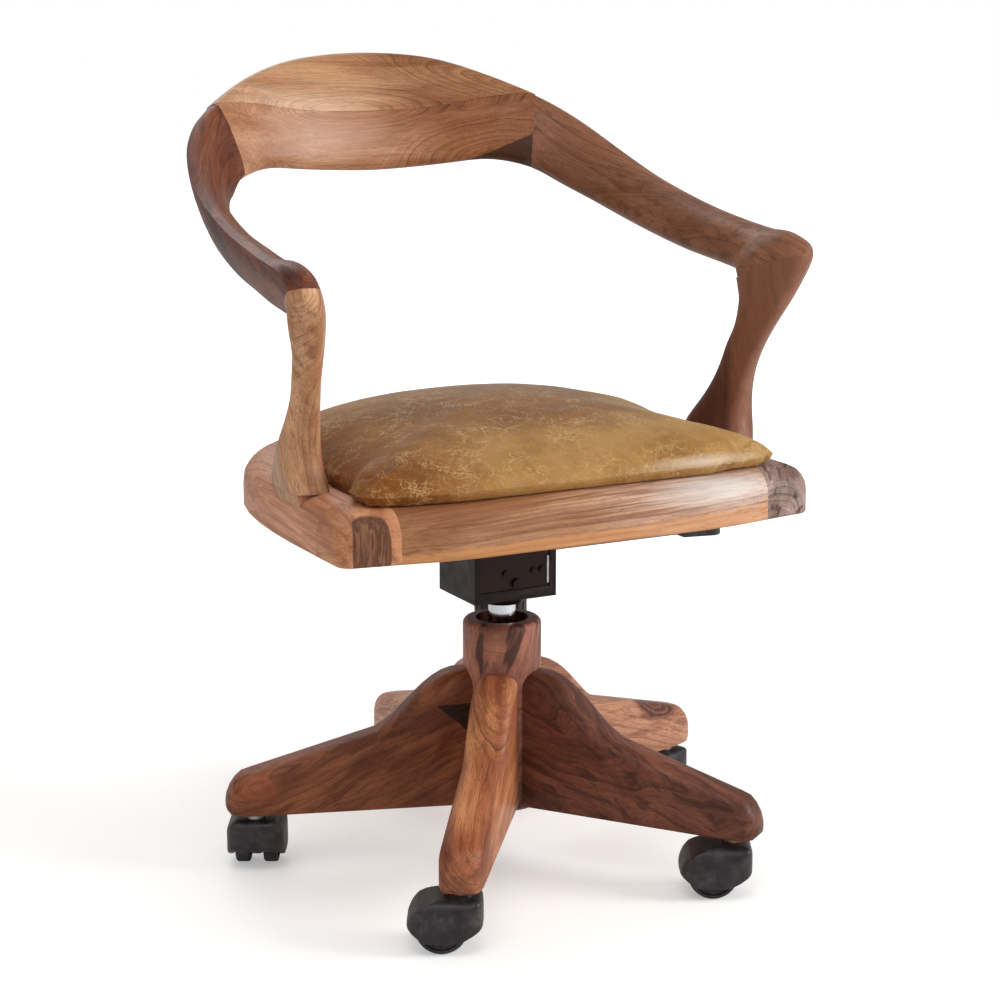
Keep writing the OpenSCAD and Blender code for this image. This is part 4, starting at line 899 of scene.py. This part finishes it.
class ARMCHAIR_OT_tilt_mechanism(bpy.types.Operator):
    """Makes the tilt housing, its plate, spring, knob, lever and fixings"""

    bl_idname = "armchair.tilt_mechanism"
    bl_label = "Tilt mechanism"

    def execute(self, context):
        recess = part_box("tilt_housing")[0].y + RECESS_DEPTH
        enamel = black_enamel("stove enamelled steel")
        cased = black_enamel("stove enamelled housing", recess / MM)
        zinc = zinc_steel("zinc plated fixings")
        nylon = moulded_nylon("moulded black knob")
        for cad_node, body, slot, material in (
            ("tilt_housing", "column", "black_steel", cased),
            ("top_plate", "seat", "black_steel", enamel),
            ("tension_knob", "knob", "black_plastic", nylon),
            ("lever_paddle", "lever", "black_plastic", nylon),
        ):
            name = cad_node + "_part"
            soften(add_piece(merged_copy(cad_node, name, 30.0), name, body, material, (cad_node,)),
                   shape().sheet_edge, 40.0)
        for cad_node in ("pivot_pin", "tension_bolt", "plate_bolts"):
            finish_node(cad_node, zinc)
        # Four screw heads and a bare edge show in the recess at the front of the housing
        dull = black_enamel("blacked screw")
        for number, (across, up, size) in enumerate(RECESS_SCREWS, 1):
            name = f"housing_screw_{number}"
            mesh = hex_head(size, size * SCREW_HEIGHT, (across, recess, up), name)
            add_piece(mesh, name, "column", dull).data.shade_flat()
        low, high = RECESS_EDGE
        mesh = bar((low[0], recess - EDGE_THICKNESS, low[1]), (high[0], recess, high[1]), "housing_bare_edge")
        add_piece(mesh, "housing_bare_edge", "column", zinc)
        finish_node("lever_rod", enamel)
        coil = add_piece(merged_copy("tilt_spring", "tilt_spring_coil", 60.0, 0.0), "tilt_spring_coil", "column",
                         black_enamel("oil blacked spring wire"), ("tilt_spring",))
        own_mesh(coil)
        return {"FINISHED"}


class ARMCHAIR_OT_seat_frame(bpy.types.Operator):
    """Makes the walnut seat frame and finishes what it hides"""

    bl_idname = "armchair.seat_frame"
    bl_label = "Seat frame"

    def execute(self, context):
        for cad_node in ("front_rail", "corner_left", "corner_right", "side_rail_left", "side_rail_right", "rear_rail"):
            timber(cad_node, "seat", 38.0)
        pale = beech("sawn beech")
        finish_node("frame_dowels", pale)
        finish_node("seat_bearers", pale)
        finish_node("seat_board", plywood("birch plywood"))
        return {"FINISHED"}


class ARMCHAIR_OT_back_and_arms(bpy.types.Operator):
    """Makes the posts, the arms and the two boards of the crest"""

    bl_idname = "armchair.back_and_arms"
    bl_label = "Back and arms"

    def execute(self, context):
        for cad_node, slot in (
            ("post_left", "walnut_posts"), ("post_right", "walnut_posts"), ("arm_left", "walnut_arms"),
            ("arm_right", "walnut_arms"), ("crest_lower", "walnut_crest"), ("crest_upper", "walnut_crest"),
        ):
            timber(cad_node, "seat", 50.0, rounded=slot != "walnut_posts")
        return {"FINISHED"}


def full_surface():
    """The cushion's solid with its facets rounded off, as a tree to measure distances from."""
    mesh = merged_copy("seat_cushion", "cushion_full", rejoin=0.0)
    bm = from_mesh(mesh)
    join_facets(bm, 30)
    full = linked(to_mesh(bm, mesh), "cushion_full")
    rounding = full.modifiers.new("Rounded facets", "SUBSURF")
    rounding.levels = rounding.render_levels = 2
    bm = from_mesh(evaluated(full))
    bmesh.ops.triangulate(bm, faces=bm.faces)
    tree = BVHTree.FromBMesh(bm)
    bm.free()
    bpy.data.objects.remove(full)
    return tree


def inflate(form, held):
    """Blows the form up as cloth, with its nailed edge held, and keeps each point near its place."""
    rest = [v.co.copy() for v in form.data.vertices]
    cloth = form.modifiers.new("Leather", "CLOTH")
    skin = cloth.settings
    skin.quality = 6
    skin.mass = 0.4
    skin.tension_stiffness = skin.compression_stiffness = 22
    skin.bending_stiffness = 1.2
    skin.use_pressure = True
    skin.uniform_pressure_force = 4.0
    skin.effector_weights.gravity = 0.0
    skin.vertex_group_mass = held.name
    cloth.collision_settings.use_collision = False
    cloth.point_cache.frame_start, cloth.point_cache.frame_end = 1, CLOTH_FRAMES
    for step in range(1, CLOTH_FRAMES + 1):
        bpy.context.scene.frame_set(step)
    blown = evaluated(form)
    form.modifiers.clear()
    for vert, start in zip(blown.vertices, rest):
        move = vert.co - start
        if move.length > MOST_STRETCH:
            move = move.normalized() * MOST_STRETCH
        vert.co = start + move
    form.data = blown
    bpy.context.scene.frame_set(1)


def leather_form(low):
    """The cushion's skin, remeshed a little small and inflated, and the solid that limits it."""
    mesh = merged_copy("seat_cushion", "cushion_form", rejoin=0.0)
    bm = from_mesh(mesh)
    bmesh.ops.triangulate(bm, faces=bm.faces)
    limit = BVHTree.FromBMesh(bm)
    bm.normal_update()
    for vert in bm.verts:
        vert.co -= vert.normal * shape().cushion_start
    form = linked(to_mesh(bm, mesh), "cushion_form")
    voxels = form.modifiers.new("Even mesh", "REMESH")
    voxels.mode, voxels.voxel_size = "VOXEL", shape().cushion_voxel
    even = evaluated(form)
    form.modifiers.clear()
    form.data = even
    held = form.vertex_groups.new(name="Held under the frame")
    held.add([v.index for v in even.vertices if v.co.z < low.z + NAILED_DEPTH], 1.0, "REPLACE")
    inflate(form, held)
    return form, limit


def pleat(co, low, high):
    """Depth of the folds at a point: pulls at the two front corners and short wrinkles along the front edge."""
    total = 0.0
    rise = (co.z - low.z) / (high.z - low.z)
    for side, width, count, turn in FANNED_FOLDS:
        away = Vector((co.x, co.y, 0)) - Vector((side * FOLD_CORNER[0], FOLD_CORNER[1], 0))
        angle = math.atan2(away.y, away.x * side)
        near = math.exp(-(away.length / width) ** 2) * max(0.0, 1 - abs(rise - 0.5) * 1.6)
        total += near * max(0.0, math.sin(angle * count * 2 + turn)) ** 3
    if co.y < FRONT_STRIP:
        for centre, width, lean in WRINKLES:
            x = co.x - centre - lean * (co.z - WRINKLE_FOOT)
            fade = max(0.0, 1 - abs(co.z - WRINKLE_HEIGHT) / WRINKLE_REACH)
            total += WRINKLE_SHARE * math.exp(-(x / width) ** 2) * fade
    return total * shape().pleat_depth


def fill_out(bm, limit):
    """Brings the leather out near its full surface, and its nailed rim to the solid itself."""
    full, sag = full_surface(), shape().cushion_sag
    for vert in bm.verts:
        place, normal = full.find_nearest(vert.co)[:2]
        under = max(0.0, -(vert.co - place).dot(normal))
        full_place = place - normal * sag * (1 - math.exp(-under / (2 * sag)))
        rim = min(1.0, max(0.0, (RIM_TOP - vert.co.z) / RIM_BLEND))
        vert.co = full_place.lerp(limit.find_nearest(vert.co)[0], rim)


def hold_in(bm, limit):
    """Keeps the leather in its solid's space, so that it never cuts into the frame or the posts."""
    for vert in bm.verts:
        place, normal = limit.find_nearest(vert.co)[:2]
        on_crown = vert.co.z > CROWN_FROM and abs(vert.co.x) < CROWN_HALF_WIDTH
        allow = CROWN_PROUD if on_crown else 0.0
        if (vert.co - place).dot(normal) > allow:
            vert.co = place + normal * allow


class ARMCHAIR_OT_cushion(bpy.types.Operator):
    """Inflates the leather cushion and gives it its folds"""

    bl_idname = "armchair.cushion"
    bl_label = "Cushion"

    def execute(self, context):
        low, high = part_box("seat_cushion")
        form, limit = leather_form(low)
        finer = form.modifiers.new("Smooth leather", "SUBSURF")
        finer.levels = finer.render_levels = 1
        mesh = evaluated(form)
        bpy.data.objects.remove(form)
        mesh.name = "seat_cushion_leather"
        bm = from_mesh(mesh)
        fill_out(bm, limit)
        bm.normal_update()
        for vert in bm.verts:
            slack = noise.noise(vert.co * 26.0) * 0.0005 + noise.noise(vert.co * 60.0) * 0.0002
            vert.co -= vert.normal * (pleat(vert.co, low, high) - slack)
        bmesh.ops.smooth_vert(bm, verts=bm.verts, factor=0.4, use_axis_x=True, use_axis_y=True, use_axis_z=True)
        bm.normal_update()
        hold_in(bm, limit)
        bmesh.ops.recalc_face_normals(bm, faces=bm.faces)
        for face in bm.faces:
            face.smooth = True
        cushion = add_piece(to_mesh(bm, mesh), "seat_cushion_leather", "seat", waxed_leather("waxed pull-up leather"),
                            ("seat_cushion",))
        return {"FINISHED"}


def seen_white(add):
    """1 where the camera looks, straight or through glass, and 0 for light on its way to the object."""
    path = add("LightPath")
    return add("Math MAXIMUM", path.outputs["Is Camera Ray"], path.outputs["Is Transmission Ray"])


class ARMCHAIR_OT_stage(bpy.types.Operator):
    """Sets up the pale floor, the studio light and the camera"""

    bl_idname = "armchair.stage"
    bl_label = "Stage"

    def execute(self, context):
        scene = context.scene
        bm = bmesh.new()
        bmesh.ops.create_grid(bm, x_segments=1, y_segments=1, size=9.0)
        bmesh.ops.translate(bm, verts=bm.verts, vec=(0, 0, -0.0004))
        floor = linked(to_mesh(bm, "studio_floor"), "studio_floor")
        # Matt white paper: it keeps the shadow, and is lifted a little to meet the white behind
        material, add = new_material("matt white paper")
        away = add("VectorMath LENGTH", mapped(add))
        fine = add("TexNoise", mapped(add), Scale=0.5)
        paper = add("BsdfDiffuse", add("Mix", fine, "#f2f1ef", "#f7f6f5"))
        lift = add("Math MULTIPLY", seen_white(add), add("MapRange", away, 700.0, 2400.0, 0.34, 0.75))
        add("OutputMaterial", add("AddShader", paper, add("Emission", (1, 1, 1, 1), lift)))
        floor.data.materials.append(material)

        scene.world = bpy.data.worlds.new("White studio")
        scene.world.use_nodes = True
        scene.world.node_tree.nodes.clear()
        add = functools.partial(node, scene.world.node_tree)
        soft, white = (add("Background", (1, 1, 1, 1), strength) for strength in (0.5, 1.0))
        add("OutputWorld", add("MixShader", seen_white(add), soft, white))

        for name, (place, target, size, power) in SOFTBOXES.items():
            lamp = bpy.data.lights.new(name, "AREA")
            lamp.shape, lamp.size, lamp.energy = "DISK", size, power
            made = linked(lamp, name)
            made.location = place
            made.rotation_euler = (Vector(target) - Vector(place)).to_track_quat("-Z", "Y").to_euler()

        camera = linked(bpy.data.cameras.new("camera"), "camera")
        camera.location = CAMERA_PLACE
        camera.rotation_euler = (math.radians(CAMERA_PITCH), 0, math.radians(CAMERA_YAW))
        camera.data.sensor_width, camera.data.lens = 36.0, CAMERA_LENS
        camera.data.shift_x, camera.data.shift_y = CAMERA_SHIFT
        camera.data.clip_start, camera.data.clip_end = 0.05, 60.0
        scene.camera = camera
        scene.view_settings.view_transform = "Standard"
        return {"FINISHED"}


OPERATORS = (
    ARMCHAIR_OT_base_woodwork, ARMCHAIR_OT_base_fittings, ARMCHAIR_OT_casters, ARMCHAIR_OT_gas_spring,
    ARMCHAIR_OT_tilt_mechanism, ARMCHAIR_OT_seat_frame, ARMCHAIR_OT_back_and_arms, ARMCHAIR_OT_cushion,
    ARMCHAIR_OT_stage,
)


class ARMCHAIR_PT_pieces(bpy.types.Panel):
    """Lists the pieces of the armchair and their settings"""

    bl_idname = "ARMCHAIR_PT_pieces"
    bl_label = "Armchair"
    bl_space_type = "VIEW_3D"
    bl_region_type = "UI"
    bl_category = "Armchair"

    def draw(self, context):
        for group in (shape(), looks()):
            box = self.layout.box()
            for key in group.__annotations__:
                box.prop(group, key)
        for operator in OPERATORS:
            self.layout.operator(operator.bl_idname, text=operator.bl_label)


CLASSES = (ArmchairShape, ArmchairLooks, *OPERATORS, ARMCHAIR_PT_pieces)


def register():
    for cls in CLASSES:
        bpy.utils.register_class(cls)
    bpy.types.Scene.armchair_shape = bpy.props.PointerProperty(type=ArmchairShape)
    bpy.types.Scene.armchair_looks = bpy.props.PointerProperty(type=ArmchairLooks)


def unregister():
    del bpy.types.Scene.armchair_shape
    del bpy.types.Scene.armchair_looks
    for cls in reversed(CLASSES):
        bpy.utils.unregister_class(cls)


def main():
    register()
    bpy.ops.armchair.base_woodwork()
    bpy.ops.armchair.base_fittings()
    bpy.ops.armchair.casters()
    bpy.ops.armchair.gas_spring()
    bpy.ops.armchair.tilt_mechanism()
    bpy.ops.armchair.seat_frame()
    bpy.ops.armchair.back_and_arms()
    bpy.ops.armchair.cushion()
    bpy.ops.armchair.stage()


if __name__ == "__main__":
    main()
